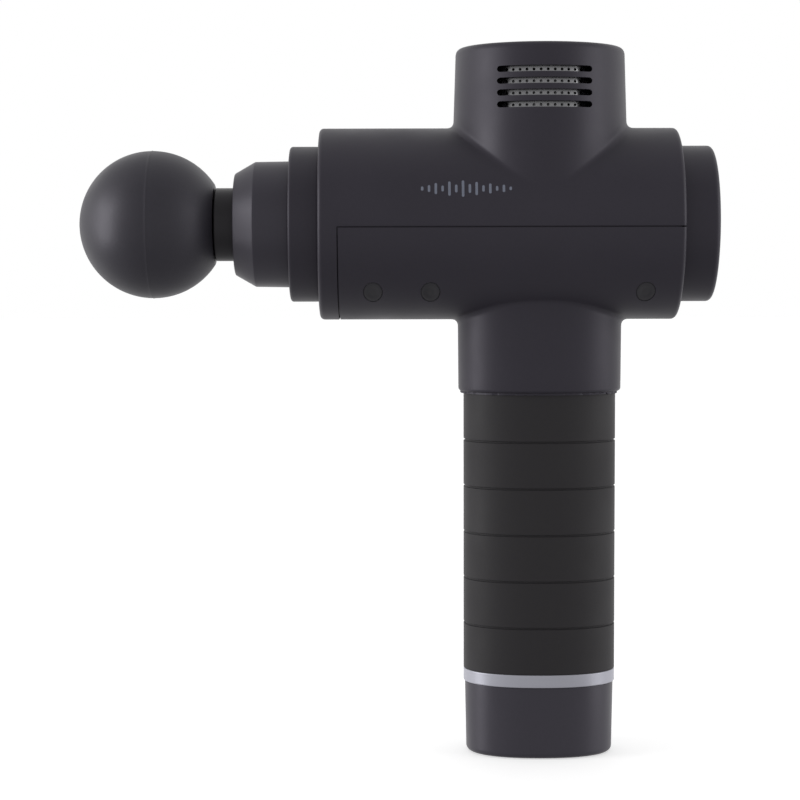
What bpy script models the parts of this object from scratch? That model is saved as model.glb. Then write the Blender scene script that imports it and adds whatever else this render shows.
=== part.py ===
"""Percussion massage gun: T-shaped body, ball head, motor tower and battery handle.

Run with: blender --background --python part.py
Units are metres and +Z is up. The head points to -X. The origin is the centre
of the flat base, on the shared axis of the handle and the motor tower.
"""

from math import atan2, copysign, cos, pi, radians, sin, sqrt

import bmesh
import bpy

# ---- Clearances ----
GAP = 0.0003                    # between two pieces that touch
SLIDE_GAP = 0.0005              # between the battery pack and its socket
FACE_GAP = 0.0001               # between two faces that look flush
OVERCUT = 0.0100                # how far a cutter runs past what it cuts

# ---- Body: a horizontal tube along X ----
BODY_RADIUS = 0.0350
BODY_FRONT = -0.0807
BODY_REAR = 0.0498
BODY_EDGE = 0.0016
BODY_WALL = 0.0035
END_WALL = 0.0030
END_BORE = 0.0260               # hole in both ends, for a spigot
SEAM_SETBACK = 0.0072           # from the front face to the lower shell
SEAM_DROP = 0.0015              # from the axis down to the lower shell

# ---- Tower: a drafted tube above the body ----
TOWER_HEIGHT = 0.0639           # from the body's axis to the top face
TOWER_TOP_RADIUS = 0.0308
TOWER_DRAFT = 0.032             # growth in radius for each unit of drop
TOWER_WALL = 0.0039
TOWER_EDGE = 0.0030
TOWER_CAP_THICK = 0.0028
VENT_COUNT = 4
VENT_PITCH = 0.00417
VENT_TOP = 0.0096               # from the top face to the highest slot's middle
VENT_HEIGHT = 0.0022
VENT_HALF_LENGTH = 0.0169
TOWER_CAP_EDGE = 0.0004
SCREEN_STANDOFF = 0.0005
SCREEN_THICK = 0.0008

# ---- Front stack ----
COLLAR_RADIUS = 0.0284
COLLAR_LENGTH = 0.0105
COLLAR_EDGE = 0.0011
SPIGOT_LENGTH = 0.0070
NOSE_RADIUS = 0.0231
NOSE_FRONT_RADIUS = 0.0186
NOSE_LENGTH = 0.0200
NOSE_CHAMFER = 0.0075
NOSE_WALL = 0.0056
NOSE_LIP = 0.0045
NOSE_EDGE = 0.0006
NOSE_TAPER = 0.0002             # growth in radius behind the chamfer
NOSE_SPIGOT_STEP = 0.0021       # from the nose's skin in to its spigot
SEAL_ROOM = 0.0030              # between the piston and the nose's lip
GUIDE_STEP = 0.0007             # from the nose's bore out to the guide
GUIDE_WALL = 0.0023
GUIDE_FLANGE = 0.0035           # the guide's flange, along the axis
GUIDE_FLANGE_STEP = 0.0030      # from the body's end bore in to the flange
NECK_LENGTH = 0.0073            # of the piston tube that shows at rest

# ---- Head and drive ----
BALL_RADIUS = 0.0270
BALL_LAND = 0.0013              # of its flat back, round the tube's end
PISTON_RADIUS = 0.0134
PISTON_LENGTH = 0.0672
STEM_RADIUS = 0.0087
STEM_DEPTH = 0.0300             # of the stem inside the piston tube
STEM_BURIED = 0.0085            # from the ball's centre to the stem's end
STEM_EDGE = 0.0010
STEM_ROOM = 0.0010              # behind the stem
TUBE_EDGE = 0.0004
RETAINER_START = 0.0072         # groove of the retaining ring, from the front
RETAINER_END = 0.0112
RETAINER_DEPTH = 0.0020
ROD_SOCKET_START = 0.0090       # from the stem's end to the push rod
YOKE_PIN_SETBACK = 0.0070       # from the tube's rear end
YOKE_PIN_INSET = 0.0006         # of the pin's ends below the tube's skin
CRANK_THROW = 0.0060
ROLLER_RADIUS = 0.0045
PIN_RADIUS = 0.0020
YOKE_PLAY = 0.0015              # room beside the roller, for the evened stroke
YOKE_RIM = 0.0080
YOKE_THICK = 0.0090
YOKE_SIDE_ROOM = 0.0010         # past the roller, across the stroke
YOKE_SIDE_RIM = 0.0040
CRANK_LIGHT_RIM = 0.0022        # of the disc left beside the pin
PIN_HEAD_RIM = 0.0010
PIN_HEAD_THICK = 0.0011
PIN_HEAD_GAP = 0.0010           # between the yoke and the pin's head
ROLLER_OVERHANG = 0.0007
DISC_LIFT = 0.0005              # above the push rod
ROD_RADIUS = 0.0065
SHAFT_RADIUS = 0.0025
DISC_RADIUS = 0.0160
DISC_THICK = 0.0060

# ---- Motor ----
PLATE_TOP = 0.0200              # chassis plate, above the body's axis
PLATE_THICK = 0.0060
MOTOR_RADIUS = 0.0225
MOTOR_WALL = 0.0015
MOTOR_HEIGHT = 0.0337
MOTOR_ROOF = 0.0025
MOTOR_EDGE = 0.0010
STACK_HEIGHT = 0.0190
ROTOR_RADIUS = 0.0104
BEARING_RADIUS = 0.0080
FAN_RADIUS = 0.0190
FAN_HEIGHT = 0.0042
FAN_HUB = 0.0060
FAN_BLADES = 9
FAN_BLADE_SHARE = 0.22
FAN_LIFT = 0.0010
POLE_COUNT = 6
POLE_SHARE = 0.55
POLE_ROOT_DEPTH = 0.0030
AIR_GAP = 0.0006                # between the rotor and the poles
WINDING_OVERHANG = 0.0042
WINDING_STEP = 0.0015           # from the poles out to the winding
WINDING_BAR_INSET = 0.0020
WINDING_BAR_HALF = 0.0018
WINDING_BAR_END = 0.0006
RACE_LOW = 0.0005               # of the lower bearing above the plate's underside
RACE_HIGH = 0.0050
TOP_RACE = 0.0035

# ---- Screws through the lower shell ----
SCREW_X = (-0.0611, -0.0405, 0.0364)
SCREW_RISE = 0.0104             # from the body's underside up to the screws
PLUG_RADIUS = 0.0034
SCREW_HEAD_RADIUS = 0.0029
SCREW_RADIUS = 0.0015
BOSS_RADIUS = 0.0050
PLUG_SEAT_DEPTH = 0.0056        # from the body's skin down to the screw head
CHASSIS_WALL = 0.0068
CHASSIS_FIT = 0.0004            # between the chassis and the body's bore
CHASSIS_SHOULDER = 0.0011       # of a wall's narrow foot above the bosses
CHASSIS_SLOPE = 0.0025
CHASSIS_INSET = 0.0018          # of a wall from the plate's side
ROD_PASSAGE = 0.0015            # round the push rod
SCREW_HEAD_SEAT = 0.0020        # of the head below the plug's seat
SCREW_HEAD_HEIGHT = 0.0018
SCREW_BITE = 0.0075             # of the screw in the chassis
SCREW_TIP = 0.0005
PLUG_SURPLUS = 0.0040           # trimmed off by the body's skin
BOARD_INSET = 0.0070            # of the main board from the bore

# ---- Rear cap ----
CAP_RADIUS = 0.0285
CAP_LENGTH = 0.0127
CAP_EDGE = 0.0018
CAP_RECESS = 0.0223
CAP_RECESS_FLARE = 0.0012
CAP_RECESS_DEPTH = 0.0012
CAP_PANEL_THICK = 0.0022
CAP_SPIGOT_WALL = 0.0037
LIGHT_WIDTH = 0.0029
BUTTON_RADIUS = 0.0094
BUTTON_PROUD = 0.0005
BUTTON_FLANGE = 0.0020
BUTTON_FLANGE_THICK = 0.0015
BUTTON_BOARD_SETBACK = 0.0022
BUTTON_BOARD_RIM = 0.0043

# ---- Handle and battery pack ----
OVAL_POWER = 0.90               # under 1 squares the ellipse a little
GRIP_HALF_X = 0.0280
GRIP_HALF_Y = 0.01875
GRIP_WALL = 0.0024
GROOVE_COUNT = 5
GROOVE_SHARE = 17 / 103         # of the visible grip, from one groove to the next
GROOVE_HALF_WIDTH = 0.0005
GROOVE_DEPTH = 0.0006
CASE_WALL = 0.0015
SOCKET_WALL_X = 0.0022          # from the grip's skin to the socket's
SOCKET_WALL_Y = 0.00205
SOCKET_FLARE = 0.0003           # growth of the socket towards the body
SOCKET_REACH = 0.0263           # from the body's underside to the socket's end
SOCKET_EDGE = 0.0013
LIP_DEPTH = 0.0018              # of the grip inside the socket's mouth
RING_HEIGHT = 0.0045
BASE_HEIGHT = 0.0267
BASE_STEP_X = 0.0005            # from the grip's skin in to the base's
BASE_STEP_Y = 0.00045
BASE_DRAFT = 0.0005
BASE_EDGE = 0.0020
BASE_WALL = 0.0018
FLOOR_THICK = 0.0030
CELL_RADIUS = 0.00915
CELL_LENGTH = 0.0650
CELL_LAYERS = 2
CELL_FLOOR = 0.0220
CELL_SHOULDER = 0.0018
CELL_BUTTON_SHARE = 0.4         # of the cell's radius
CASE_DROP = 0.0060              # of the inner case below the cells
CASE_CEILING = 0.0020
BASE_WELL_DROP = 0.0063         # of the base's hollow below the cells
PACK_HEADROOM = 0.0080
JACK_X = 0.0150
JACK_RADIUS = 0.0046
JACK_BORE = 0.0033
JACK_DEPTH = 0.0095
JACK_BACK = 0.0020
JACK_FLANGE = 0.0012
JACK_FLANGE_TOP = 0.0018        # above the floor
PLUG_HALF_X = 0.0080
PLUG_HALF_Y = 0.0039
PLUG_HEIGHT = 0.0075
CONNECTOR_WALL_X = 0.0024
CONNECTOR_WALL_Y = 0.0018
CONNECTOR_PLAY = 0.0006
CONNECTOR_LIFT = 0.0010
CONNECTOR_DEPTH = 0.0080
ROCKER_X = -0.0130
ROCKER_HALF_X = 0.0060
ROCKER_HALF_Y = 0.0036
ROCKER_PIVOT_Z = 0.0045
ROCKER_TILT = radians(7.0)
ROCKER_TIP = -0.0030            # face below the pivot at the ends
ROCKER_DIP = -0.0022            # and in the middle
ROCKER_TOP = 0.0012
ROCKER_TOP_INSET = 0.0006
ROCKER_ROOM_X = 0.0008
ROCKER_ROOM_Y = 0.0006
RELEASE_Z_DROP = 0.0145         # from the body's underside to the button
RELEASE_HALF_X = 0.0055
RELEASE_HALF_Z = 0.0027
RELEASE_RIM = 0.0010            # of the hidden flange
RELEASE_RIM_THICK = 0.0011
RELEASE_RIM_DEPTH = 0.0026      # of the flange's face from the inner case
RELEASE_OVERLAP = 0.0005
RELEASE_PROUD = 0.0002

# ---- Facets ----
LARGE_STEPS = 36
MEDIUM_STEPS = 20
SMALL_STEPS = 12
OVAL_STEPS = 32
ARC_STEPS = 2
BALL_FRONT_STEPS = 6
BALL_REAR_STEPS = 4

# ---- Places worked out from the sizes above ----
SOCKET_HALF_X = GRIP_HALF_X + SOCKET_WALL_X
SOCKET_HALF_Y = GRIP_HALF_Y + SOCKET_WALL_Y
BASE_HALF_X = GRIP_HALF_X - BASE_STEP_X
BASE_HALF_Y = GRIP_HALF_Y - BASE_STEP_Y
PACK_TOP = CELL_FLOOR + CELL_LAYERS * CELL_LENGTH + PACK_HEADROOM
AXIS_Z = PACK_TOP + SLIDE_GAP + BODY_RADIUS
SOCKET_END = AXIS_Z - BODY_RADIUS - SOCKET_REACH
COLLAR_FRONT = BODY_FRONT - GAP - COLLAR_LENGTH
NOSE_REAR = COLLAR_FRONT - GAP
NOSE_FRONT = NOSE_REAR - NOSE_LENGTH
TUBE_FRONT = NOSE_FRONT - NECK_LENGTH
TUBE_REAR = TUBE_FRONT + PISTON_LENGTH
BALL_BACK = TUBE_FRONT - GAP
BALL_FLAT = PISTON_RADIUS + BALL_LAND
BALL_X = BALL_BACK - sqrt(BALL_RADIUS ** 2 - BALL_FLAT ** 2)
BODY_BORE = BODY_RADIUS - BODY_WALL
TOWER_BORE = TOWER_TOP_RADIUS - TOWER_WALL
SCREEN_RADIUS = TOWER_BORE - SCREEN_STANDOFF
SCREW_DROP = BODY_RADIUS - SCREW_RISE
SCREW_SKIN = sqrt(BODY_RADIUS ** 2 - SCREW_DROP ** 2)
SCREW_SEAT = SCREW_SKIN - PLUG_SEAT_DEPTH
RAIL_LOW = SCREW_DROP + CHASSIS_WALL / 2
RAIL_HALF = sqrt((BODY_BORE - CHASSIS_FIT) ** 2 - RAIL_LOW ** 2)
GUIDE_RADIUS = NOSE_RADIUS - NOSE_WALL + GUIDE_STEP
BUSH_BORE = PISTON_RADIUS + GAP
PLATE_LOW = PLATE_TOP - PLATE_THICK
GRIP_BORE_X = GRIP_HALF_X - GRIP_WALL
GRIP_BORE_Y = GRIP_HALF_Y - GRIP_WALL
CASE_HALF_X = GRIP_BORE_X - GAP
CASE_HALF_Y = GRIP_BORE_Y - GAP
GRIP_LOW = BASE_HEIGHT + RING_HEIGHT
GRIP_TOP = SOCKET_END + LIP_DEPTH
GROOVE_PITCH = GROOVE_SHARE * (SOCKET_END - GRIP_LOW)
BOARD_DROP = 0.0160
BOARD_THICK = 0.0016
SKIN = 0.0002                   # a plug's face below the body's skin

UPRIGHT = (0.0, 0.0, 0.0)
ALONG_X = (0.0, pi / 2, 0.0)
ALONG_Y = (-pi / 2, 0.0, 0.0)
BODY_AT = (0.0, 0.0, AXIS_Z)


# ---- Materials ----
def material(name, colour, roughness, metallic=0.0):
    """Return the Principled material of this name, made on first use."""
    found = bpy.data.materials.get(name)
    if found:
        return found
    made = bpy.data.materials.new(name)
    made.use_nodes = True
    shader = made.node_tree.nodes["Principled BSDF"]
    shader.inputs["Base Color"].default_value = (*colour, 1.0)
    shader.inputs["Roughness"].default_value = roughness
    shader.inputs["Metallic"].default_value = metallic
    return made


def shell_plastic():
    return material("shell_plastic", (0.040, 0.038, 0.045), 0.55)


def grip_rubber():
    return material("grip_rubber", (0.028, 0.026, 0.028), 0.75)


def trim_plastic():
    return material("trim_plastic", (0.035, 0.033, 0.038), 0.50)


def silver_trim():
    return material("silver_trim", (0.62, 0.63, 0.66), 0.35, 0.9)


def ball_foam():
    return material("ball_foam", (0.032, 0.031, 0.036), 0.60)


def steel():
    return material("steel", (0.55, 0.55, 0.57), 0.30, 1.0)


def alloy():
    return material("alloy", (0.60, 0.61, 0.63), 0.40, 1.0)


def board_green():
    return material("board_green", (0.02, 0.12, 0.05), 0.50)


def copper():
    return material("copper", (0.70, 0.33, 0.16), 0.40, 1.0)


def cell_wrap():
    return material("cell_wrap", (0.05, 0.20, 0.45), 0.45)


def seal_rubber():
    return material("seal_rubber", (0.015, 0.015, 0.016), 0.70)


def light_diffuser():
    return material("light_diffuser", (0.65, 0.66, 0.68), 0.40)


# ---- Outlines ----
def arc(centre, radius, start, end, steps=ARC_STEPS):
    """Points of an arc; the angles are in degrees from the outline's first axis."""
    points = []
    for step in range(steps + 1):
        angle = radians(start + (end - start) * step / steps)
        points.append((centre[0] + radius * cos(angle), centre[1] + radius * sin(angle)))
    return points


def ring_outline(low, high, inner, outer):
    """A plain rectangular section of (along, radius) points."""
    return [(low, inner), (low, outer), (high, outer), (high, inner)]


def disc_outline(low, high, radius):
    return [(low, 0.0), (low, radius), (high, radius), (high, 0.0)]


def oval(half_x, half_y):
    """Points of an ellipse that is squared a little by OVAL_POWER."""
    points = []
    for step in range(OVAL_STEPS):
        angle = 2 * pi * step / OVAL_STEPS
        across = copysign(abs(cos(angle)) ** OVAL_POWER, cos(angle))
        along = copysign(abs(sin(angle)) ** OVAL_POWER, sin(angle))
        points.append((half_x * across, half_y * along))
    return points


def stadium(half_length, half_height, steps=ARC_STEPS):
    """A slot with round ends, along the first axis."""
    straight = half_length - half_height
    right = arc((straight, 0.0), half_height, -90, 90, steps)
    left = arc((-straight, 0.0), half_height, 90, 270, steps)
    return right + left


def rectangle(half_x, half_y):
    return [(-half_x, -half_y), (half_x, -half_y), (half_x, half_y), (-half_x, half_y)]


# ---- Meshes ----
def turned(outline, steps=MEDIUM_STEPS, closed=False):
    """Spin an outline of (along, radius) points about local Z."""
    bm = bmesh.new()
    verts = [bm.verts.new((radius, 0.0, along)) for along, radius in outline]
    pairs = list(zip(verts, verts[1:]))
    if closed:
        pairs.append((verts[-1], verts[0]))
    edges = [bm.edges.new(pair) for pair in pairs]
    bmesh.ops.spin(bm, geom=verts + edges, cent=(0, 0, 0), axis=(0, 0, 1), dvec=(0, 0, 0),
                   angle=2 * pi, steps=steps, use_merge=True, use_duplicate=False)
    bmesh.ops.remove_doubles(bm, verts=bm.verts, dist=1e-6)
    bmesh.ops.recalc_face_normals(bm, faces=bm.faces)
    return bm


def tube(low, high, inner, outer, steps=MEDIUM_STEPS):
    return turned(ring_outline(low, high, inner, outer), steps, closed=True)


def rod(low, high, radius, steps=MEDIUM_STEPS):
    return turned(disc_outline(low, high, radius), steps)


def stacked(rings, closed=False):
    """Join oval rings of (half_x, half_y, z); cap the ends, or close the stack on itself."""
    bm = bmesh.new()
    loops = [[bm.verts.new((x, y, z)) for x, y in oval(half_x, half_y)] for half_x, half_y, z in rings]
    pairs = list(zip(loops, loops[1:]))
    if closed:
        pairs.append((loops[-1], loops[0]))
    else:
        bm.faces.new(loops[0])
        bm.faces.new(loops[-1])
    for here, there in pairs:
        for step in range(OVAL_STEPS):
            after = (step + 1) % OVAL_STEPS
            bm.faces.new((here[step], here[after], there[after], there[step]))
    bmesh.ops.recalc_face_normals(bm, faces=bm.faces)
    return bm


def prism(outline, low, high):
    """Extrude an outline of (x, y) points from low to high along local Z."""
    bm = bmesh.new()
    base = bm.faces.new([bm.verts.new((x, y, low)) for x, y in outline])
    raised = bmesh.ops.extrude_face_region(bm, geom=[base])["geom"]
    top = [item for item in raised if isinstance(item, bmesh.types.BMVert)]
    bmesh.ops.translate(bm, verts=top, vec=(0, 0, high - low))
    bmesh.ops.recalc_face_normals(bm, faces=bm.faces)
    return bm


def block(low, high):
    """A box between two corners."""
    bm = bmesh.new()
    bmesh.ops.create_cube(bm, size=1.0)
    size = [top - bottom for bottom, top in zip(low, high)]
    middle = [(top + bottom) / 2 for bottom, top in zip(low, high)]
    bmesh.ops.scale(bm, verts=bm.verts, vec=size)
    bmesh.ops.translate(bm, verts=bm.verts, vec=middle)
    return bm


def toothed(root, tip, outer_is_plain, teeth, tooth_share, low, high):
    """A ring whose inner (or outer) rim is toothed, between low and high on local Z.

    root and tip are the radii of the toothed rim, and outer_is_plain is the
    radius of the plain rim. tooth_share is the tooth's part of each pitch.
    """
    pitch = 2 * pi / teeth
    edge = pitch * tooth_share / 2
    turns = (-pitch / 2 + 0.01, -edge - 0.01, -edge, 0.0, edge, edge + 0.01, pitch / 2 - 0.01)
    radii = (root, root, tip, tip, tip, root, root)
    plain, rim = [], []
    for tooth in range(teeth):
        for turn, radius in zip(turns, radii):
            angle = tooth * pitch + turn
            plain.append((outer_is_plain * cos(angle), outer_is_plain * sin(angle)))
            rim.append((radius * cos(angle), radius * sin(angle)))
    bm = bmesh.new()
    loops = []
    for outline, height in ((plain, low), (plain, high), (rim, high), (rim, low)):
        loops.append([bm.verts.new((x, y, height)) for x, y in outline])
    for here, there in zip(loops, loops[1:] + loops[:1]):
        for step, vert in enumerate(here):
            after = (step + 1) % len(here)
            bm.faces.new((vert, here[after], there[after], there[step]))
    bmesh.ops.recalc_face_normals(bm, faces=bm.faces)
    return bm


# ---- Objects ----
def body_empty(name, at=UPRIGHT):
    """An empty that carries the pieces of one moving body."""
    empty = bpy.data.objects.new(name, None)
    empty.location = at
    bpy.context.scene.collection.objects.link(empty)
    return empty


def add(name, shape, finish, owner, at=UPRIGHT, turn=UPRIGHT):
    """Make an object from a bmesh, or from a mesh that another object uses."""
    if isinstance(shape, bmesh.types.BMesh):
        mesh = bpy.data.meshes.new(name)
        shape.to_mesh(mesh)
        shape.free()
        mesh.shade_smooth()
        mesh.set_sharp_from_angle(angle=radians(30))
        mesh.materials.append(finish)
    else:
        mesh = shape
    obj = bpy.data.objects.new(name, mesh)
    bpy.context.scene.collection.objects.link(obj)
    obj.parent = owner
    obj.location = [place - origin for place, origin in zip(at, owner.location)]
    obj.rotation_euler = turn
    return obj


def helper(name, shape, owner, at=UPRIGHT, turn=UPRIGHT):
    """A cutter or another hidden shape that a Boolean reads."""
    obj = add(name, shape, shell_plastic(), owner, at, turn)
    obj.hide_render = True
    obj.display_type = "WIRE"
    return obj


def combine(target, tools, operation):
    """Add one exact Boolean that joins, cuts or keeps what the tools cover."""
    modifier = target.modifiers.new(tools[0].name, "BOOLEAN")
    modifier.operation = operation
    modifier.solver = "EXACT"
    if len(tools) == 1:
        modifier.object = tools[0]
        return
    group = bpy.data.collections.new(f"{target.name}_{operation.lower()}")
    for tool in tools:
        group.objects.link(tool)
    modifier.operand_type = "COLLECTION"
    modifier.collection = group


def cut(target, *tools):
    combine(target, tools, "DIFFERENCE")


def join(target, *tools):
    combine(target, tools, "UNION")


# ---- Shells ----
def body_solid():
    """The outside of the body tube, with both ends rounded."""
    inset = BODY_RADIUS - BODY_EDGE
    outline = [(BODY_FRONT, 0.0)]
    outline += arc((BODY_FRONT + BODY_EDGE, inset), BODY_EDGE, 180, 90)
    outline += arc((BODY_REAR - BODY_EDGE, inset), BODY_EDGE, 90, 0)
    outline += [(BODY_REAR, 0.0)]
    return turned(outline, LARGE_STEPS)


def tower_solid():
    """The outside of the tower, from the body's axis up to its rounded top edge."""
    foot = TOWER_TOP_RADIUS + TOWER_DRAFT * TOWER_HEIGHT
    inset = TOWER_TOP_RADIUS - TOWER_EDGE
    outline = [(0.0, 0.0), (0.0, foot)]
    outline += arc((TOWER_HEIGHT - TOWER_EDGE, inset), TOWER_EDGE, 90, 0)
    outline += [(TOWER_HEIGHT, 0.0)]
    return turned(outline, LARGE_STEPS)


def shell_cutters(root):
    """The hollows that both shells share."""
    void_front, void_rear = BODY_FRONT + END_WALL, BODY_REAR - END_WALL
    void = helper("body_void", rod(void_front, void_rear, BODY_BORE, LARGE_STEPS), root, BODY_AT, ALONG_X)
    ends = helper("spigot_bores", rod(BODY_FRONT - OVERCUT, BODY_REAR + OVERCUT, END_BORE, LARGE_STEPS),
                  root, BODY_AT, ALONG_X)
    return void, ends


def seam_box(name, root, margin):
    """The space of the lower shell; margin grows it past the seam."""
    front = BODY_FRONT + SEAM_SETBACK - margin
    top = AXIS_Z - SEAM_DROP + margin
    far = 2 * BODY_RADIUS
    return helper(name, block((front, -far, 0.0), (BODY_REAR + far, far, top)), root)


def upper_shell(root, void, ends):
    """The body's upper half with its full front ring and the tower."""
    shell = add("upper_shell", body_solid(), shell_plastic(), root, BODY_AT, ALONG_X)
    join(shell, helper("tower_outside", tower_solid(), root, BODY_AT))
    bore = helper("tower_bore", rod(0.0, TOWER_HEIGHT + OVERCUT, TOWER_BORE, LARGE_STEPS), root, BODY_AT)
    reach = 2 * TOWER_TOP_RADIUS
    slot = prism(stadium(VENT_HALF_LENGTH, VENT_HEIGHT / 2), -reach, reach)
    vents = []
    for index in range(VENT_COUNT):
        height = AXIS_Z + TOWER_HEIGHT - VENT_TOP - index * VENT_PITCH
        vents.append(helper(f"vent_{index + 1}", slot, root, (0, 0, height), ALONG_Y))
        slot = vents[0].data
    cut(shell, void, ends, bore, *vents, seam_box("lower_space", root, GAP / 2))


def lower_shell(root, void, ends, screws):
    """The body's lower cover with the oval socket of the handle."""
    shell = add("lower_shell", body_solid(), shell_plastic(), root, BODY_AT, ALONG_X)
    top = AXIS_Z - BODY_RADIUS / 2
    rings = [(SOCKET_HALF_X - SOCKET_EDGE, SOCKET_HALF_Y - SOCKET_EDGE, SOCKET_END)]
    for step in (1, 2):
        share = sin(step * pi / 4)
        lift = 1 - cos(step * pi / 4)
        shrink = SOCKET_FLARE + SOCKET_EDGE * (1 - share)
        rings.append((SOCKET_HALF_X - shrink, SOCKET_HALF_Y - shrink, SOCKET_END + SOCKET_EDGE * lift))
    rings.append((SOCKET_HALF_X, SOCKET_HALF_Y, top))
    join(shell, helper("socket_outside", stacked(rings), root))
    lower_void = helper("lower_void", void.data, root, BODY_AT, ALONG_X)
    cut(lower_void, *screws["bosses"])
    mouth = [(GRIP_HALF_X + GAP, GRIP_HALF_Y + GAP, SOCKET_END - OVERCUT),
             (GRIP_HALF_X + GAP, GRIP_HALF_Y + GAP, GRIP_TOP + GAP)]
    well_x, well_y = CASE_HALF_X + SLIDE_GAP, CASE_HALF_Y + SLIDE_GAP
    well = [(well_x, well_y, SOCKET_END), (well_x, well_y, AXIS_Z - BODY_RADIUS / 2)]
    cut(shell, lower_void, ends, helper("socket_mouth", stacked(mouth), root),
        helper("socket_well", stacked(well), root), *screws["holes"], *release_cutters(root))
    combine(shell, [seam_box("lower_keep", root, -GAP / 2)], "INTERSECT")


def release_cutters(root):
    """The stepped hole of the release button in the socket's rear side."""
    at = (0.0, 0.0, AXIS_Z - BODY_RADIUS - RELEASE_Z_DROP)
    head = stadium(RELEASE_HALF_X + GAP, RELEASE_HALF_Z + GAP)
    flange = stadium(RELEASE_HALF_X + RELEASE_RIM + GAP, RELEASE_HALF_Z + RELEASE_RIM + GAP)
    shoulder = CASE_HALF_Y + RELEASE_RIM_DEPTH + GAP
    return (helper("release_hole", prism(head, CASE_HALF_Y, SOCKET_HALF_Y + OVERCUT), root, at, ALONG_Y),
            helper("release_pocket", prism(flange, CASE_HALF_Y - OVERCUT, shoulder), root, at, ALONG_Y))


def release_button(root, owner):
    """A stadium-shaped button with a flange that keeps it in the socket's wall."""
    at = (0.0, 0.0, AXIS_Z - BODY_RADIUS - RELEASE_Z_DROP)
    flange_top = CASE_HALF_Y + RELEASE_RIM_DEPTH
    outline = stadium(RELEASE_HALF_X, RELEASE_HALF_Z)
    head = prism(outline, flange_top - RELEASE_OVERLAP, SOCKET_HALF_Y + RELEASE_PROUD)
    button = add("release_button", head, trim_plastic(), owner, at, ALONG_Y)
    flange = stadium(RELEASE_HALF_X + RELEASE_RIM, RELEASE_HALF_Z + RELEASE_RIM)
    rim = prism(flange, flange_top - RELEASE_RIM_THICK, flange_top)
    join(button, helper("release_rim", rim, owner, at, ALONG_Y))


def tower_cap(root):
    """The round cap that closes the tower, flush in its top."""
    top = TOWER_HEIGHT - FACE_GAP
    radius = TOWER_BORE - GAP
    outline = [(top - TOWER_CAP_THICK, 0.0), (top - TOWER_CAP_THICK, radius), (top - TOWER_CAP_EDGE, radius),
               (top, radius - TOWER_CAP_EDGE), (top, 0.0)]
    add("tower_cap", turned(outline, LARGE_STEPS), shell_plastic(), root, BODY_AT)


def vent_screen(root):
    """The thin sleeve behind the vent slots."""
    low = TOWER_HEIGHT - VENT_TOP - VENT_COUNT * VENT_PITCH
    high = TOWER_HEIGHT - TOWER_CAP_THICK - GAP - FACE_GAP
    screen = tube(low, high, SCREEN_RADIUS - SCREEN_THICK, SCREEN_RADIUS, LARGE_STEPS)
    add("vent_screen", screen, silver_trim(), root, BODY_AT)


# ---- Screws ----
def screw_side(side):
    """Turn a piece that is drawn along +Y to the given side."""
    return (-side * pi / 2, 0.0, 0.0)


def screw_set(root):
    """Case screws, their plugs, and the helpers that make room for them."""
    bosses, holes = [], []
    boss_mesh = hole_mesh = screw_mesh = plug_mesh = None
    rail = RAIL_HALF + GAP
    index = 0
    trim = helper("plug_skin", rod(BODY_FRONT, BODY_REAR, BODY_RADIUS - SKIN, LARGE_STEPS),
                  root, BODY_AT, ALONG_X)
    for x in SCREW_X:
        for side in (-1, 1):
            index += 1
            at = (x, 0.0, AXIS_Z - SCREW_DROP)
            turn = screw_side(side)
            boss_shape = boss_mesh or rod(rail, SCREW_SKIN, BOSS_RADIUS, SMALL_STEPS)
            boss = helper(f"boss_{index}", boss_shape, root, at, turn)
            ledge = SCREW_SEAT - SCREW_HEAD_SEAT
            hole_outline = [(0.0, 0.0), (0.0, SCREW_RADIUS + GAP), (ledge, SCREW_RADIUS + GAP),
                            (ledge, PLUG_RADIUS + GAP), (BODY_RADIUS, PLUG_RADIUS + GAP), (BODY_RADIUS, 0.0)]
            hole_shape = hole_mesh or turned(hole_outline, SMALL_STEPS)
            hole = helper(f"screw_hole_{index}", hole_shape, root, at, turn)
            tip = RAIL_HALF - SCREW_BITE
            seat = ledge + GAP
            screw_outline = [(tip, 0.0), (tip + SCREW_TIP, SCREW_RADIUS), (seat, SCREW_RADIUS),
                             (seat, SCREW_HEAD_RADIUS), (seat + SCREW_HEAD_HEIGHT, SCREW_HEAD_RADIUS),
                             (seat + SCREW_HEAD_HEIGHT, 0.0)]
            screw_shape = screw_mesh or turned(screw_outline, SMALL_STEPS)
            screw = add(f"case_screw_{index}", screw_shape, steel(), root, at, turn)
            plug_low = seat + SCREW_HEAD_HEIGHT + GAP
            plug_shape = plug_mesh or rod(plug_low, SCREW_SKIN + PLUG_SURPLUS, PLUG_RADIUS, SMALL_STEPS)
            plug = add(f"screw_plug_{index}", plug_shape, trim_plastic(), root, at, turn)
            combine(plug, [trim], "INTERSECT")
            boss_mesh, hole_mesh, screw_mesh, plug_mesh = boss.data, hole.data, screw.data, plug.data
            bosses.append(boss)
            holes.append(hole)
    return {"bosses": bosses, "holes": holes}


# ---- Front stack ----
def front_collar(root):
    """The stepped ring in front of the body, with its spigot and bore."""
    front, rear = COLLAR_FRONT, BODY_FRONT - GAP
    spigot_rear = BODY_FRONT + SPIGOT_LENGTH
    counterbore = NOSE_RADIUS - NOSE_SPIGOT_STEP
    inset = COLLAR_RADIUS - COLLAR_EDGE
    bore = GUIDE_RADIUS + GAP
    outline = [(front, counterbore)]
    outline += arc((front + COLLAR_EDGE, inset), COLLAR_EDGE, 180, 90)
    outline += [(rear, COLLAR_RADIUS), (rear, END_BORE - GAP), (spigot_rear, END_BORE - GAP),
                (spigot_rear, bore), (front + SPIGOT_LENGTH, bore), (front + SPIGOT_LENGTH, counterbore)]
    add("front_collar", turned(outline, LARGE_STEPS, closed=True), shell_plastic(), root, BODY_AT, ALONG_X)


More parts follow.
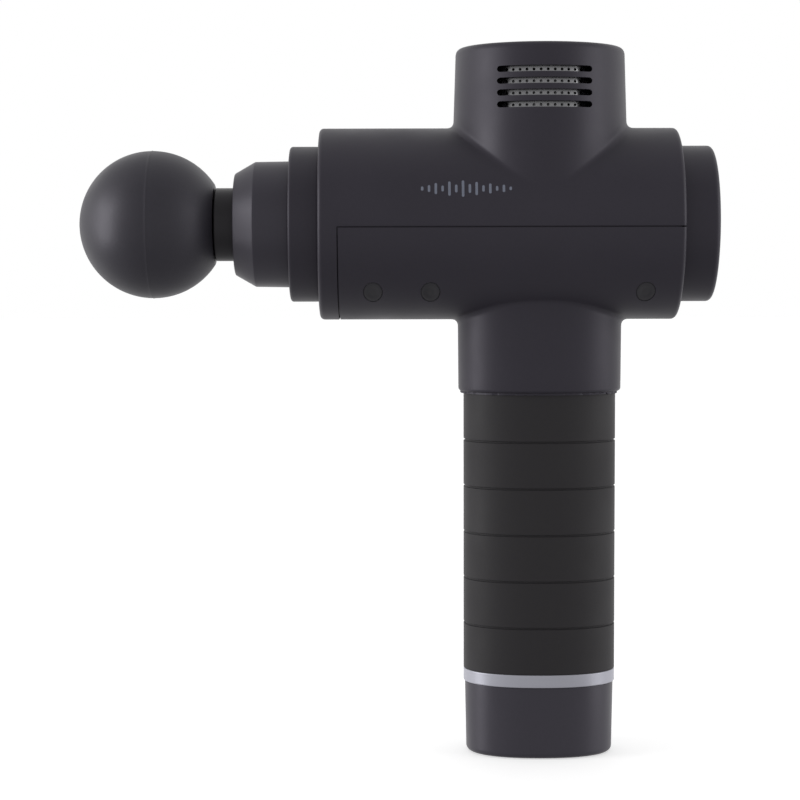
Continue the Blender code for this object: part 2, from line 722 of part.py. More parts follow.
def nose_cone(root):
    """The chamfered nose with the opening of the piston."""
    bore = NOSE_RADIUS - NOSE_WALL
    lip_bore = PISTON_RADIUS + SEAL_ROOM
    spigot = NOSE_RADIUS - NOSE_SPIGOT_STEP - GAP
    outline = [(NOSE_FRONT, lip_bore), (NOSE_FRONT, NOSE_FRONT_RADIUS - NOSE_EDGE),
               (NOSE_FRONT + NOSE_EDGE, NOSE_FRONT_RADIUS),
               (NOSE_FRONT + NOSE_CHAMFER, NOSE_RADIUS - NOSE_TAPER),
               (NOSE_REAR, NOSE_RADIUS), (NOSE_REAR, spigot), (COLLAR_FRONT + SPIGOT_LENGTH - GAP, spigot),
               (COLLAR_FRONT + SPIGOT_LENGTH - GAP, bore), (NOSE_FRONT + NOSE_LIP, bore),
               (NOSE_FRONT + NOSE_LIP, lip_bore)]
    add("nose_cone", turned(outline, LARGE_STEPS, closed=True), shell_plastic(), root, BODY_AT, ALONG_X)


def front_bearings(root):
    """The seal, the two bushes and the guide that the piston tube runs in."""
    seal_outer = PISTON_RADIUS + SEAL_ROOM - GAP
    seal = tube(NOSE_FRONT + GAP, NOSE_FRONT + NOSE_LIP - GAP, BUSH_BORE, seal_outer)
    add("nose_seal", seal, seal_rubber(), root, BODY_AT, ALONG_X)
    bush_outer = NOSE_RADIUS - NOSE_WALL - GAP
    front = tube(NOSE_FRONT + NOSE_LIP + GAP, NOSE_REAR, BUSH_BORE, bush_outer)
    add("front_bush", front, light_diffuser(), root, BODY_AT, ALONG_X)
    guide_bore = GUIDE_RADIUS - GUIDE_WALL
    rail_front = SCREW_X[0] - CHASSIS_WALL / 2
    flange_outer = END_BORE - GUIDE_FLANGE_STEP
    guide_front = COLLAR_FRONT + SPIGOT_LENGTH + GAP
    flange_front = rail_front - GUIDE_FLANGE
    guide = [(guide_front, guide_bore), (guide_front, GUIDE_RADIUS), (flange_front, GUIDE_RADIUS),
             (flange_front, flange_outer), (rail_front - GAP, flange_outer), (rail_front - GAP, GUIDE_RADIUS),
             (rail_front + CHASSIS_WALL, GUIDE_RADIUS), (rail_front + CHASSIS_WALL, guide_bore)]
    add("piston_guide", turned(guide, MEDIUM_STEPS, closed=True), alloy(), root, BODY_AT, ALONG_X)
    rear = tube(BODY_FRONT, rail_front, BUSH_BORE, guide_bore - GAP)
    add("rear_bush", rear, light_diffuser(), root, BODY_AT, ALONG_X)


# ---- Chassis and electronics ----
def chassis(root):
    """A plate under the motor with three walls that carry the guide and the screws."""
    plate_half = sqrt((BODY_BORE - CHASSIS_FIT) ** 2 - PLATE_TOP ** 2)
    front = SCREW_X[0] - CHASSIS_WALL / 2
    rear = SCREW_X[-1] + CHASSIS_WALL / 2
    plate = block((front, -plate_half, PLATE_LOW), (rear, plate_half, PLATE_TOP))
    frame = add("chassis", plate, alloy(), root, BODY_AT)
    narrow_top = -SCREW_DROP + BOSS_RADIUS + CHASSIS_SHOULDER
    wide_low = narrow_top + CHASSIS_SLOPE
    wide = plate_half - CHASSIS_INSET
    buried = PLATE_LOW + PLATE_THICK / 6
    outline = [(-RAIL_LOW, RAIL_HALF), (narrow_top, RAIL_HALF), (wide_low, wide), (buried, wide),
               (buried, -wide), (wide_low, -wide), (narrow_top, -RAIL_HALF), (-RAIL_LOW, -RAIL_HALF)]
    upright = [(-height, across) for height, across in outline]
    walls = []
    for index, x in enumerate(SCREW_X):
        wall = prism(upright, x - CHASSIS_WALL / 2, x + CHASSIS_WALL / 2)
        walls.append(helper(f"chassis_wall_{index}", wall, root, BODY_AT, ALONG_X))
    join(frame, *walls)
    guide_hole = rod(front - OVERCUT, SCREW_X[0] + OVERCUT, GUIDE_RADIUS + GAP)
    rod_hole = rod(SCREW_X[0], SCREW_X[1] + OVERCUT, ROD_RADIUS + ROD_PASSAGE)
    bearing_hole = rod(PLATE_LOW - OVERCUT, PLATE_TOP + OVERCUT, BEARING_RADIUS + GAP)
    holes = [helper("guide_hole", guide_hole, root, BODY_AT, ALONG_X),
             helper("rod_hole", rod_hole, root, BODY_AT, ALONG_X),
             helper("bearing_hole", bearing_hole, root, BODY_AT)]
    tap = rod(RAIL_HALF - SCREW_BITE - SCREW_TIP, RAIL_HALF + OVERCUT, SCREW_RADIUS + GAP, SMALL_STEPS)
    for index, x in enumerate(SCREW_X):
        for side in (-1, 1):
            at = (x, 0.0, AXIS_Z - SCREW_DROP)
            holes.append(helper(f"tap_{index}_{side}", tap, root, at, screw_side(side)))
            tap = holes[-1].data
    cut(frame, *holes)


def electronics(root):
    """The main board, its battery connector and the button's board."""
    front = SCREW_X[1] + CHASSIS_WALL / 2 + GAP
    rear = SCREW_X[2] - CHASSIS_WALL / 2 - GAP
    board_low = AXIS_Z - BOARD_DROP
    half = sqrt(BODY_BORE ** 2 - BOARD_DROP ** 2) - BOARD_INSET
    board = block((front, -half, board_low), (rear, half, board_low + BOARD_THICK))
    add("main_board", board, board_green(), root)
    low = PACK_TOP + CONNECTOR_LIFT
    well_x, well_y = PLUG_HALF_X + CONNECTOR_PLAY, PLUG_HALF_Y + CONNECTOR_PLAY
    wall_x, wall_y = well_x + CONNECTOR_WALL_X, well_y + CONNECTOR_WALL_Y
    connector = block((-wall_x, -wall_y, low), (wall_x, wall_y, board_low - GAP))
    socket = add("power_connector", connector, trim_plastic(), root)
    well = block((-well_x, -well_y, low - OVERCUT), (well_x, well_y, low + CONNECTOR_DEPTH))
    cut(socket, helper("connector_well", well, root))
    back = BODY_REAR + BUTTON_BOARD_SETBACK
    board = rod(back, back + BOARD_THICK, END_BORE - BUTTON_BOARD_RIM)
    add("button_board", board, board_green(), root, BODY_AT, ALONG_X)


# ---- Rear cap ----
def rear_cap(root, button_owner):
    """The stepped rear cap, its light ring and the speed button."""
    front, rear = BODY_REAR + GAP, BODY_REAR + GAP + CAP_LENGTH
    spigot_front = BODY_REAR - SPIGOT_LENGTH
    spigot_bore = END_BORE - GAP - CAP_SPIGOT_WALL
    inset = CAP_RADIUS - CAP_EDGE
    panel = rear - CAP_RECESS_DEPTH
    hole = BUTTON_RADIUS + LIGHT_WIDTH
    panel_back = panel - CAP_PANEL_THICK
    outline = [(spigot_front, spigot_bore), (spigot_front, END_BORE - GAP), (front, END_BORE - GAP),
               (front, CAP_RADIUS)]
    outline += arc((rear - CAP_EDGE, inset), CAP_EDGE, 90, 0)
    outline += [(rear, CAP_RECESS + CAP_RECESS_FLARE), (panel, CAP_RECESS), (panel, hole), (panel_back, hole),
                (panel_back, spigot_bore)]
    add("end_cap", turned(outline, LARGE_STEPS, closed=True), shell_plastic(), root, BODY_AT, ALONG_X)
    light = tube(panel_back, panel - FACE_GAP, BUTTON_RADIUS + GAP, hole - GAP, MEDIUM_STEPS)
    add("indicator_ring", light, light_diffuser(), root, BODY_AT, ALONG_X)
    flange = panel_back - GAP
    flange_low = flange - BUTTON_FLANGE_THICK
    rim, face = BUTTON_RADIUS + BUTTON_FLANGE, panel + BUTTON_PROUD
    outline = [(flange_low, 0.0), (flange_low, rim), (flange, rim), (flange, BUTTON_RADIUS),
               (panel, BUTTON_RADIUS), (face, BUTTON_RADIUS - BUTTON_PROUD), (face, 0.0)]
    add("speed_button", turned(outline, MEDIUM_STEPS), trim_plastic(), button_owner, BODY_AT, ALONG_X)


# ---- Motor ----
def motor(root, rotor):
    """The fixed can, stator and bearings, and the rotor on its shaft."""
    low, high = PLATE_TOP + GAP, PLATE_TOP + GAP + MOTOR_HEIGHT
    inner = MOTOR_RADIUS - MOTOR_WALL
    bearing_hole = BEARING_RADIUS + GAP
    roof = high - MOTOR_ROOF
    can = [(low, inner), (low, MOTOR_RADIUS), (high - MOTOR_EDGE, MOTOR_RADIUS),
           (high, MOTOR_RADIUS - MOTOR_EDGE), (high, bearing_hole), (roof, bearing_hole), (roof, inner)]
    add("motor_can", turned(can, MEDIUM_STEPS, closed=True), steel(), root, BODY_AT)
    stack_low = low + (MOTOR_HEIGHT - MOTOR_ROOF - STACK_HEIGHT) / 2
    stack_high = stack_low + STACK_HEIGHT
    tip, root_radius = ROTOR_RADIUS + AIR_GAP, inner - POLE_ROOT_DEPTH
    core = toothed(root_radius, tip, inner - GAP, POLE_COUNT, POLE_SHARE, stack_low, stack_high)
    add("stator_core", core, steel(), root, BODY_AT)
    wound_low, wound_high = stack_low - GAP - WINDING_OVERHANG, stack_low - GAP
    crown_low, crown_high = stack_high + GAP, stack_high + GAP + WINDING_OVERHANG
    wound_inner = tip + WINDING_STEP
    winding = add("stator_winding", tube(wound_low, wound_high, wound_inner, root_radius, MEDIUM_STEPS),
                  copper(), root, BODY_AT)
    crown = tube(crown_low, crown_high, wound_inner, root_radius, MEDIUM_STEPS)
    bars = [helper("winding_crown", crown, root, BODY_AT)]
    bar = block((tip + WINDING_BAR_INSET, -WINDING_BAR_HALF, (wound_low + wound_high) / 2),
                (root_radius - WINDING_BAR_END, WINDING_BAR_HALF, (crown_low + crown_high) / 2))
    for slot in range(POLE_COUNT):
        angle = (slot + 0.5) * 2 * pi / POLE_COUNT
        bars.append(helper(f"winding_bar_{slot}", bar, root, BODY_AT, (0.0, 0.0, angle)))
        bar = bars[-1].data
    join(winding, *bars)
    bore = SHAFT_RADIUS + GAP
    race = tube(PLATE_LOW + RACE_LOW, PLATE_LOW + RACE_HIGH, bore, BEARING_RADIUS)
    add("bottom_bearing", race, steel(), root, BODY_AT)
    add("top_bearing", tube(high - TOP_RACE, high - GAP, bore, BEARING_RADIUS), steel(), root, BODY_AT)
    disc_low = ROD_RADIUS + DISC_LIFT
    fan_low = high + FAN_LIFT
    shaft = rod(disc_low, fan_low + FAN_HEIGHT, SHAFT_RADIUS, MEDIUM_STEPS)
    add("motor_shaft", shaft, steel(), rotor, BODY_AT)
    add("rotor_magnet", tube(stack_low, stack_high, bore, ROTOR_RADIUS), steel(), rotor, BODY_AT)
    fan = toothed(FAN_HUB, FAN_RADIUS, bore, FAN_BLADES, FAN_BLADE_SHARE, fan_low, fan_low + FAN_HEIGHT)
    add("cooling_fan", fan, trim_plastic(), rotor, BODY_AT)
    crank(rotor, disc_low, bore)


def crank(rotor, disc_low, bore):
    """The weighted crank disc with its pin and roller, at the end of the return stroke."""
    plate = tube(disc_low, disc_low + DISC_THICK, bore, DISC_RADIUS)
    disc = add("crank_disc", plate, steel(), rotor, BODY_AT)
    pin_at = (CRANK_THROW, 0.0, AXIS_Z)
    light_side = CRANK_THROW + PIN_RADIUS + CRANK_LIGHT_RIM
    under, over = disc_low - OVERCUT, disc_low + DISC_THICK + OVERCUT
    relief = block((light_side, -DISC_RADIUS, under), (2 * DISC_RADIUS, DISC_RADIUS, over))
    pin_hole = rod(under, over, PIN_RADIUS + GAP, SMALL_STEPS)
    cut(disc, helper("disc_relief", relief, rotor, BODY_AT),
        helper("pin_hole", pin_hole, rotor, pin_at))
    low = -YOKE_THICK / 2
    head_top = low - PIN_HEAD_GAP
    head_low = head_top - PIN_HEAD_THICK
    outline = [(head_low, 0.0), (head_low, PIN_RADIUS + PIN_HEAD_RIM), (head_top, PIN_RADIUS + PIN_HEAD_RIM),
               (head_top, PIN_RADIUS), (disc_low + DISC_THICK - GAP, PIN_RADIUS),
               (disc_low + DISC_THICK - GAP, 0.0)]
    add("crank_pin", turned(outline, SMALL_STEPS), steel(), rotor, pin_at)
    roller = tube(low - ROLLER_OVERHANG, disc_low - GAP, PIN_RADIUS + GAP, ROLLER_RADIUS, SMALL_STEPS)
    add("crank_roller", roller, steel(), rotor, pin_at)


# ---- Piston and head ----
def piston(owner):
    """The yoke that the crank drives, and the tube that carries the head."""
    slot_half_x = ROLLER_RADIUS + YOKE_PLAY
    slot_half_y = CRANK_THROW + ROLLER_RADIUS + YOKE_SIDE_ROOM
    front = CRANK_THROW - slot_half_x - YOKE_RIM
    rear = CRANK_THROW + slot_half_x + YOKE_RIM
    half_y = slot_half_y + YOKE_SIDE_RIM
    half_z = YOKE_THICK / 2
    solid = block((front, -half_y, -half_z), (rear, half_y, half_z))
    yoke = add("drive_yoke", solid, alloy(), owner, BODY_AT)
    bore_end = TUBE_FRONT + STEM_DEPTH + ROD_SOCKET_START
    push_rod = rod(bore_end + GAP, front + YOKE_RIM / 4, ROD_RADIUS, MEDIUM_STEPS)
    window = block((CRANK_THROW - slot_half_x, -slot_half_y, -YOKE_THICK),
                   (CRANK_THROW + slot_half_x, slot_half_y, YOKE_THICK))
    pin_at = (TUBE_REAR - YOKE_PIN_SETBACK, 0.0, AXIS_Z)
    pin_hole = rod(-PISTON_RADIUS - OVERCUT, PISTON_RADIUS + OVERCUT, PIN_RADIUS + GAP, SMALL_STEPS)
    join(yoke, helper("push_rod", push_rod, owner, BODY_AT, ALONG_X))
    hole = helper("yoke_pin_hole", pin_hole, owner, pin_at)
    cut(yoke, helper("yoke_window", window, owner, BODY_AT), hole)
    pin_half = PISTON_RADIUS - YOKE_PIN_INSET
    add("yoke_pin", rod(-pin_half, pin_half, PIN_RADIUS, SMALL_STEPS), steel(), owner, pin_at)
    bore = STEM_RADIUS + GAP
    groove_front, groove_rear = TUBE_FRONT + RETAINER_START, TUBE_FRONT + RETAINER_END
    socket_end = TUBE_FRONT + STEM_DEPTH + STEM_ROOM
    deep = bore + RETAINER_DEPTH
    outline = [(socket_end, 0.0), (socket_end, bore), (groove_rear, bore),
               (groove_rear, deep), (groove_front, deep), (groove_front, bore), (TUBE_FRONT, bore),
               (TUBE_FRONT, PISTON_RADIUS - TUBE_EDGE), (TUBE_FRONT + TUBE_EDGE, PISTON_RADIUS),
               (TUBE_REAR, PISTON_RADIUS), (TUBE_REAR, ROD_RADIUS + GAP), (bore_end, ROD_RADIUS + GAP),
               (bore_end, 0.0)]
    sleeve = add("piston_tube", turned(outline, MEDIUM_STEPS), alloy(), owner, BODY_AT, ALONG_X)
    cut(sleeve, hole)
    ring = tube(groove_front + GAP, groove_rear - GAP, bore, deep - GAP)
    add("socket_ring", ring, seal_rubber(), owner, BODY_AT, ALONG_X)


def head(owner):
    """The ball and the stem that plugs into the piston tube."""
    stem_front = BALL_X + STEM_BURIED
    back_angle = atan2(BALL_FLAT, BALL_BACK - BALL_X) * 180 / pi
    outline = [(BALL_X - BALL_RADIUS, 0.0)]
    outline += arc((BALL_X, 0.0), BALL_RADIUS, 180, 90, BALL_FRONT_STEPS)[1:]
    outline += arc((BALL_X, 0.0), BALL_RADIUS, 90, back_angle, BALL_REAR_STEPS)[1:]
    bore = STEM_RADIUS + GAP
    outline += [(BALL_BACK, bore), (stem_front, bore), (stem_front, 0.0)]
    add("massage_ball", turned(outline, LARGE_STEPS), ball_foam(), owner, BODY_AT, ALONG_X)
    tip = TUBE_FRONT + STEM_DEPTH
    stem = [(stem_front + GAP, 0.0), (stem_front + GAP, STEM_RADIUS), (tip - STEM_EDGE, STEM_RADIUS),
            (tip, STEM_RADIUS - STEM_EDGE), (tip, 0.0)]
    add("head_stem", turned(stem, MEDIUM_STEPS), trim_plastic(), owner, BODY_AT, ALONG_X)


# ---- Battery pack ----
def grip(owner):
    """The soft grip with its grooves, and the bright ring under it."""
    inner = (GRIP_BORE_X, GRIP_BORE_Y)
    rings = [(*inner, GRIP_LOW), (GRIP_HALF_X, GRIP_HALF_Y, GRIP_LOW)]
    for index in range(GROOVE_COUNT):
        middle = GRIP_LOW + (index + 1) * GROOVE_PITCH
        rings += [(GRIP_HALF_X, GRIP_HALF_Y, middle - GROOVE_HALF_WIDTH),
                  (GRIP_HALF_X - GROOVE_DEPTH, GRIP_HALF_Y - GROOVE_DEPTH, middle),
                  (GRIP_HALF_X, GRIP_HALF_Y, middle + GROOVE_HALF_WIDTH)]
    rings += [(GRIP_HALF_X, GRIP_HALF_Y, GRIP_TOP), (*inner, GRIP_TOP)]
    add("grip_sleeve", stacked(rings, closed=True), grip_rubber(), owner)
    low, high = BASE_HEIGHT, GRIP_LOW - GAP
    ring = [(*inner, low), (GRIP_HALF_X, GRIP_HALF_Y, low), (GRIP_HALF_X, GRIP_HALF_Y, high), (*inner, high)]
    add("status_ring", stacked(ring, closed=True), silver_trim(), owner)


def base_cap(owner):
    """The hollow base with the openings of the switch and the charging jack."""
    top = BASE_HEIGHT - GAP
    wall_x, wall_y = CASE_HALF_X + GAP, CASE_HALF_Y + GAP
    low_x, low_y = BASE_HALF_X - BASE_DRAFT, BASE_HALF_Y - BASE_DRAFT
    well_top = CELL_FLOOR - BASE_WELL_DROP
    rings = [(low_x - BASE_WALL, low_y - BASE_WALL, FLOOR_THICK), (wall_x, wall_y, well_top),
             (wall_x, wall_y, top), (BASE_HALF_X, BASE_HALF_Y, top), (low_x, low_y, BASE_EDGE)]
    for step in (1, 2):
        drop = BASE_EDGE * sin(step * pi / 4)
        shrink = BASE_EDGE * (1 - cos(step * pi / 4))
        rings.append((low_x - shrink, low_y - shrink, BASE_EDGE - drop))
    base = add("base_cap", stacked(rings), shell_plastic(), owner)
    room_x, room_y = ROCKER_HALF_X + ROCKER_ROOM_X, ROCKER_HALF_Y + ROCKER_ROOM_Y
    above = 2 * FLOOR_THICK
    switch_hole = block((ROCKER_X - room_x, -room_y, -OVERCUT), (ROCKER_X + room_x, room_y, above))
    jack_hole = rod(-OVERCUT, above, JACK_RADIUS + GAP)
    jack_at = (JACK_X, 0.0, 0.0)
    cut(base, helper("switch_hole", switch_hole, owner), helper("jack_hole", jack_hole, owner, jack_at))


def battery_core(owner):
    """The pack's inner case, its cells, its board and its plug."""
    low = CELL_FLOOR - CASE_DROP
    inner = (CASE_HALF_X - CASE_WALL, CASE_HALF_Y - CASE_WALL)
    rings = [(*inner, PACK_TOP - CASE_CEILING), (*inner, low), (CASE_HALF_X, CASE_HALF_Y, low),
             (CASE_HALF_X, CASE_HALF_Y, PACK_TOP)]
    add("battery_case", stacked(rings), trim_plastic(), owner)
    mesh = None
    for layer in range(CELL_LAYERS):
        for side in (-1, 1):
            at = (side * (CELL_RADIUS + GAP), 0.0, CELL_FLOOR + layer * CELL_LENGTH)
            shoulder, nub = CELL_LENGTH - CELL_SHOULDER, CELL_RADIUS * CELL_BUTTON_SHARE
            outline = [(0.0, 0.0), (0.0, CELL_RADIUS), (shoulder, CELL_RADIUS), (shoulder, nub),
                       (CELL_LENGTH - GAP, nub), (CELL_LENGTH - GAP, 0.0)]
            name = f"cell_{2 * layer + (side + 3) // 2}"
            mesh = add(name, mesh or turned(outline, MEDIUM_STEPS), cell_wrap(), owner, at).data
    board_low = CELL_FLOOR + CELL_LAYERS * CELL_LENGTH + 4 * GAP
    board = rectangle(2 * CELL_RADIUS - 2 * SLIDE_GAP, CELL_RADIUS)
    add("battery_board", prism(board, board_low, board_low + BOARD_THICK), board_green(), owner)
    plug = prism(rectangle(PLUG_HALF_X, PLUG_HALF_Y), PACK_TOP + GAP, PACK_TOP + PLUG_HEIGHT)
    add("battery_plug", plug, trim_plastic(), owner)


def charge_jack(owner):
    """The round charging socket in the base."""
    rim = JACK_RADIUS + JACK_FLANGE
    rim_low, rim_high = FLOOR_THICK + GAP, FLOOR_THICK + JACK_FLANGE_TOP
    back = JACK_DEPTH + JACK_BACK
    outline = [(JACK_DEPTH, 0.0), (JACK_DEPTH, JACK_BORE), (GAP, JACK_BORE), (GAP, JACK_RADIUS),
               (rim_low, JACK_RADIUS), (rim_low, rim), (rim_high, rim), (rim_high, JACK_RADIUS),
               (back, JACK_RADIUS), (back, 0.0)]
    add("charge_jack", turned(outline, SMALL_STEPS), trim_plastic(), owner, (JACK_X, 0.0, 0.0))


def power_rocker(owner):
    """The rocker switch in the base, tipped to its off side."""
    at = (ROCKER_X, 0.0, ROCKER_PIVOT_Z)
    ends, top = ROCKER_HALF_X, ROCKER_HALF_X - ROCKER_TOP_INSET
    profile = [(-ends, ROCKER_TIP), (0.0, ROCKER_DIP), (ends, ROCKER_TIP), (top, ROCKER_TOP),
               (-top, ROCKER_TOP)]
    tipped = []
    for x, z in profile:
        tipped.append((x * cos(ROCKER_TILT) - z * sin(ROCKER_TILT),
                       -(x * sin(ROCKER_TILT) + z * cos(ROCKER_TILT))))
    rocker = prism(tipped, -ROCKER_HALF_Y, ROCKER_HALF_Y)
    add("power_rocker", rocker, trim_plastic(), owner, at, ALONG_Y)


def build():
    """Clear the scene and build the whole massage gun."""
    for obj in list(bpy.data.objects):
        bpy.data.objects.remove(obj)
    root = body_empty("body_frame")
    rotor = body_empty("rotor_axis", BODY_AT)
    stroke = body_empty("piston_axis", BODY_AT)
    head_axis = body_empty("head_axis", BODY_AT)
    pack = body_empty("pack_axis")
    speed_axis = body_empty("speed_button_axis", BODY_AT)
    release_axis = body_empty("release_axis", (0.0, SOCKET_HALF_Y, AXIS_Z - BODY_RADIUS - RELEASE_Z_DROP))
    rocker_axis = body_empty("rocker_axis", (ROCKER_X, 0.0, ROCKER_PIVOT_Z))
    void, ends = shell_cutters(root)
    screws = screw_set(root)
    upper_shell(root, void, ends)
    lower_shell(root, void, ends, screws)
    tower_cap(root)
    vent_screen(root)
    front_collar(root)
    nose_cone(root)
    front_bearings(root)
    chassis(root)
    electronics(root)
    rear_cap(root, speed_axis)
    release_button(root, release_axis)
    motor(root, rotor)
    piston(stroke)
    head(head_axis)
    grip(pack)
    base_cap(pack)
    battery_core(pack)
    charge_jack(pack)
    power_rocker(rocker_axis)


build()
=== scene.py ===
"""Looks of a percussion massage gun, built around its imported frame.

Every piece is in metres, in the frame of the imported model: +Z is up, the ball
head points to -X, and the origin is the centre of the base's underside.
"""

from __future__ import annotations

import logging
from dataclasses import dataclass
from enum import Enum
from math import asin, atan2, ceil, copysign, cos, pi, radians, sin, sqrt, tan
from typing import Iterable, Sequence

import bmesh
import bpy
from mathutils import Matrix, Vector

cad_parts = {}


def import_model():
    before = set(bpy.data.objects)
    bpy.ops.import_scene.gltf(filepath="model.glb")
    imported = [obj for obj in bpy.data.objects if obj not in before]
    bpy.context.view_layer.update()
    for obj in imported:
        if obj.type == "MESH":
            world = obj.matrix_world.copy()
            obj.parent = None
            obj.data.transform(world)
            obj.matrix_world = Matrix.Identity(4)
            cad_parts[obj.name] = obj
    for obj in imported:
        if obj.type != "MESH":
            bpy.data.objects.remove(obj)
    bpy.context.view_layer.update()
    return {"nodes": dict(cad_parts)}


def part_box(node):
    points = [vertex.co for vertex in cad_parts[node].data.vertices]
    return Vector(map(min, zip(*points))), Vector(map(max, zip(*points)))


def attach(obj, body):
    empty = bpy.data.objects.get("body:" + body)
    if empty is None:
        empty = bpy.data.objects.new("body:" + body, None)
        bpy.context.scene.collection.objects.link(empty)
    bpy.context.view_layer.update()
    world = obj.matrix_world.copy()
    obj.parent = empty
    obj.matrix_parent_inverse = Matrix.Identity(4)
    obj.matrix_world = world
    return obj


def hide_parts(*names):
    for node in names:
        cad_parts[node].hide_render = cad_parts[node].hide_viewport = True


log = logging.getLogger("massage_gun")

Point2 = tuple[float, float]
Corner = tuple[float, float, float]
Colour = tuple[float, float, float]

HOLD = 0.00025                  # flat kept beside a rounded corner
SHARP_ANGLE = radians(32)
MERGE = 1e-6
ROUND_STEPS = 144               # facets round a large turned piece
SMALL_STEPS = 48                # facets round a small one
OVAL_STEPS = 160                # facets round the handle
OVAL_POWER = 0.90               # under 1 squares the handle's ellipse a little


# ---- Outlines ----
def rounded(corners: Sequence[Corner], closed: bool = False, steps: int = 6) -> list[Point2]:
    """Round the corners of an outline.

    Args:
        corners: points as (along, radius, fillet), where a fillet of 0 stays sharp.
        closed: whether the last corner joins the first.
        steps: straight pieces in each arc.

    Returns:
        The outline's points as (along, radius).
    """
    points: list[Point2] = []
    count = len(corners)
    for index, (along, radius, fillet) in enumerate(corners):
        here = Vector((along, radius))
        if fillet <= 0.0 or (not closed and index in (0, count - 1)):
            points.append((along, radius))
            continue
        to_before = (Vector(corners[index - 1][:2]) - here).normalized()
        to_after = (Vector(corners[(index + 1) % count][:2]) - here).normalized()
        half = to_before.angle(to_after) / 2
        reach = fillet / tan(half)
        centre = here + (to_before + to_after).normalized() * (fillet / sin(half))
        room = min((Vector(corners[near % count][:2]) - here).length for near in (index - 1, index + 1)) / 2
        start = here + to_before * reach - centre
        end = here + to_after * reach - centre
        first = atan2(start.y, start.x)
        sweep = (atan2(end.y, end.x) - first + pi) % (2 * pi) - pi
        hold = max(0.0, min(HOLD, fillet, room - reach))
        points.append(tuple(centre + start + to_before * hold))
        for step in range(steps + 1):
            angle = first + sweep * step / steps
            points.append((centre.x + fillet * cos(angle), centre.y + fillet * sin(angle)))
        points.append(tuple(centre + end + to_after * hold))
    return points


def stadium(half_length: float, half_height: float, arc_steps: int = 6,
            straight_steps: int = 1) -> list[Point2]:
    """Give the outline of a slot with round ends, its length along the first axis."""
    straight = half_length - half_height
    points: list[Point2] = []
    for side in (1, -1):
        for step in range(arc_steps + 1):
            angle = pi * step / arc_steps - pi / 2
            points.append((side * (straight + half_height * cos(angle)), side * half_height * sin(angle)))
        for step in range(1, straight_steps):
            share = step / straight_steps
            points.append((side * straight * (1 - 2 * share), side * half_height))
    return points


def oval_point(turn: float, half_x: float, half_y: float, power: float = OVAL_POWER) -> Point2:
    """Give the point of a slightly squared ellipse at one turn."""
    across, along = cos(turn), sin(turn)
    return (half_x * copysign(abs(across) ** power, across), half_y * copysign(abs(along) ** power, along))


# ---- Meshes ----
def turned(outline: Sequence[Point2], centre: Vector, axis: Vector, side: Vector,
           steps: int = ROUND_STEPS, closed: bool = False) -> bmesh.types.BMesh:
    """Spin an outline round an axis.

    Args:
        outline: points as (along, radius).
        centre: a point on the axis, where along is 0.
        axis: the axis's direction.
        side: the direction in which radius is measured at the start.
        steps: facets of the full turn.
        closed: whether the outline is a closed section.

    Returns:
        A closed mesh with outward faces.
    """
    bm = bmesh.new()
    verts = [bm.verts.new(centre + axis * along + side * radius) for along, radius in outline]
    pairs = list(zip(verts, verts[1:]))
    if closed:
        pairs.append((verts[-1], verts[0]))
    edges = [bm.edges.new(pair) for pair in pairs]
    bmesh.ops.spin(bm, geom=verts + edges, cent=centre, axis=axis, dvec=(0, 0, 0),
                   angle=2 * pi, steps=steps, use_merge=True, use_duplicate=False)
    bmesh.ops.remove_doubles(bm, verts=bm.verts, dist=MERGE)
    bmesh.ops.recalc_face_normals(bm, faces=bm.faces)
    return bm


def grow(bm: bmesh.types.BMesh, chain: list[bmesh.types.BMVert], places: Sequence[Vector],
         ring: bool) -> list[bmesh.types.BMVert]:
    """Extrude a chain of vertices and put the new ones in place.

    Args:
        bm: the mesh.
        chain: the vertices to extrude, in order.
        places: where each new vertex goes.
        ring: whether the chain's last vertex joins its first.

    Returns:
        The new vertices, in the chain's order.
    """
    after = chain[1:] + chain[:1] if ring else chain[1:]
    edges = [bm.edges.get(pair) for pair in zip(chain, after)]
    grown = bmesh.ops.extrude_edge_only(bm, edges=edges)["geom"]
    fresh = {item for item in grown if isinstance(item, bmesh.types.BMVert)}
    result = []
    for vert, place in zip(chain, places):
        new = next(edge.other_vert(vert) for edge in vert.link_edges if edge.other_vert(vert) in fresh)
        new.co = place
        result.append(new)
    return result


def first_ring(bm: bmesh.types.BMesh, places: Sequence[Vector]) -> list[bmesh.types.BMVert]:
    """Start a loft from a circle whose vertices are moved to the places."""
    verts = bmesh.ops.create_circle(bm, segments=len(places), radius=1.0)["verts"]
    for vert, place in zip(verts, places):
        vert.co = place
    return list(verts)


def loft(rings: Sequence[Sequence[Vector]], closed: bool = False,
         capped: bool = False) -> bmesh.types.BMesh:
    """Extrude one ring of points through the others.

    Args:
        rings: rings with the same number of points.
        closed: whether the last ring joins the first.
        capped: whether both ends get a face.

    Returns:
        The mesh, with outward faces where it is closed.
    """
    bm = bmesh.new()
    start = first_ring(bm, rings[0])
    chain = start
    for ring in rings[1:]:
        chain = grow(bm, chain, ring, ring=True)
    if closed:
        ends = [bm.edges.get(pair) for loop in (start, chain) for pair in zip(loop, loop[1:] + loop[:1])]
        bmesh.ops.bridge_loops(bm, edges=ends)
    if capped:
        bm.faces.new(start)
        bm.faces.new(chain)
    bmesh.ops.recalc_face_normals(bm, faces=bm.faces)
    return bm


def oval_rings(profile: Sequence[Point2], half_x: float, half_y: float,
               steps: int = OVAL_STEPS) -> list[list[Vector]]:
    """Give the rings of an oval piece from a profile of (inset, height) points."""
    rings = []
    for inset, height in profile:
        turns = (2 * pi * step / steps for step in range(steps))
        rings.append([Vector((*oval_point(turn, half_x - inset, half_y - inset), height)) for turn in turns])
    return rings


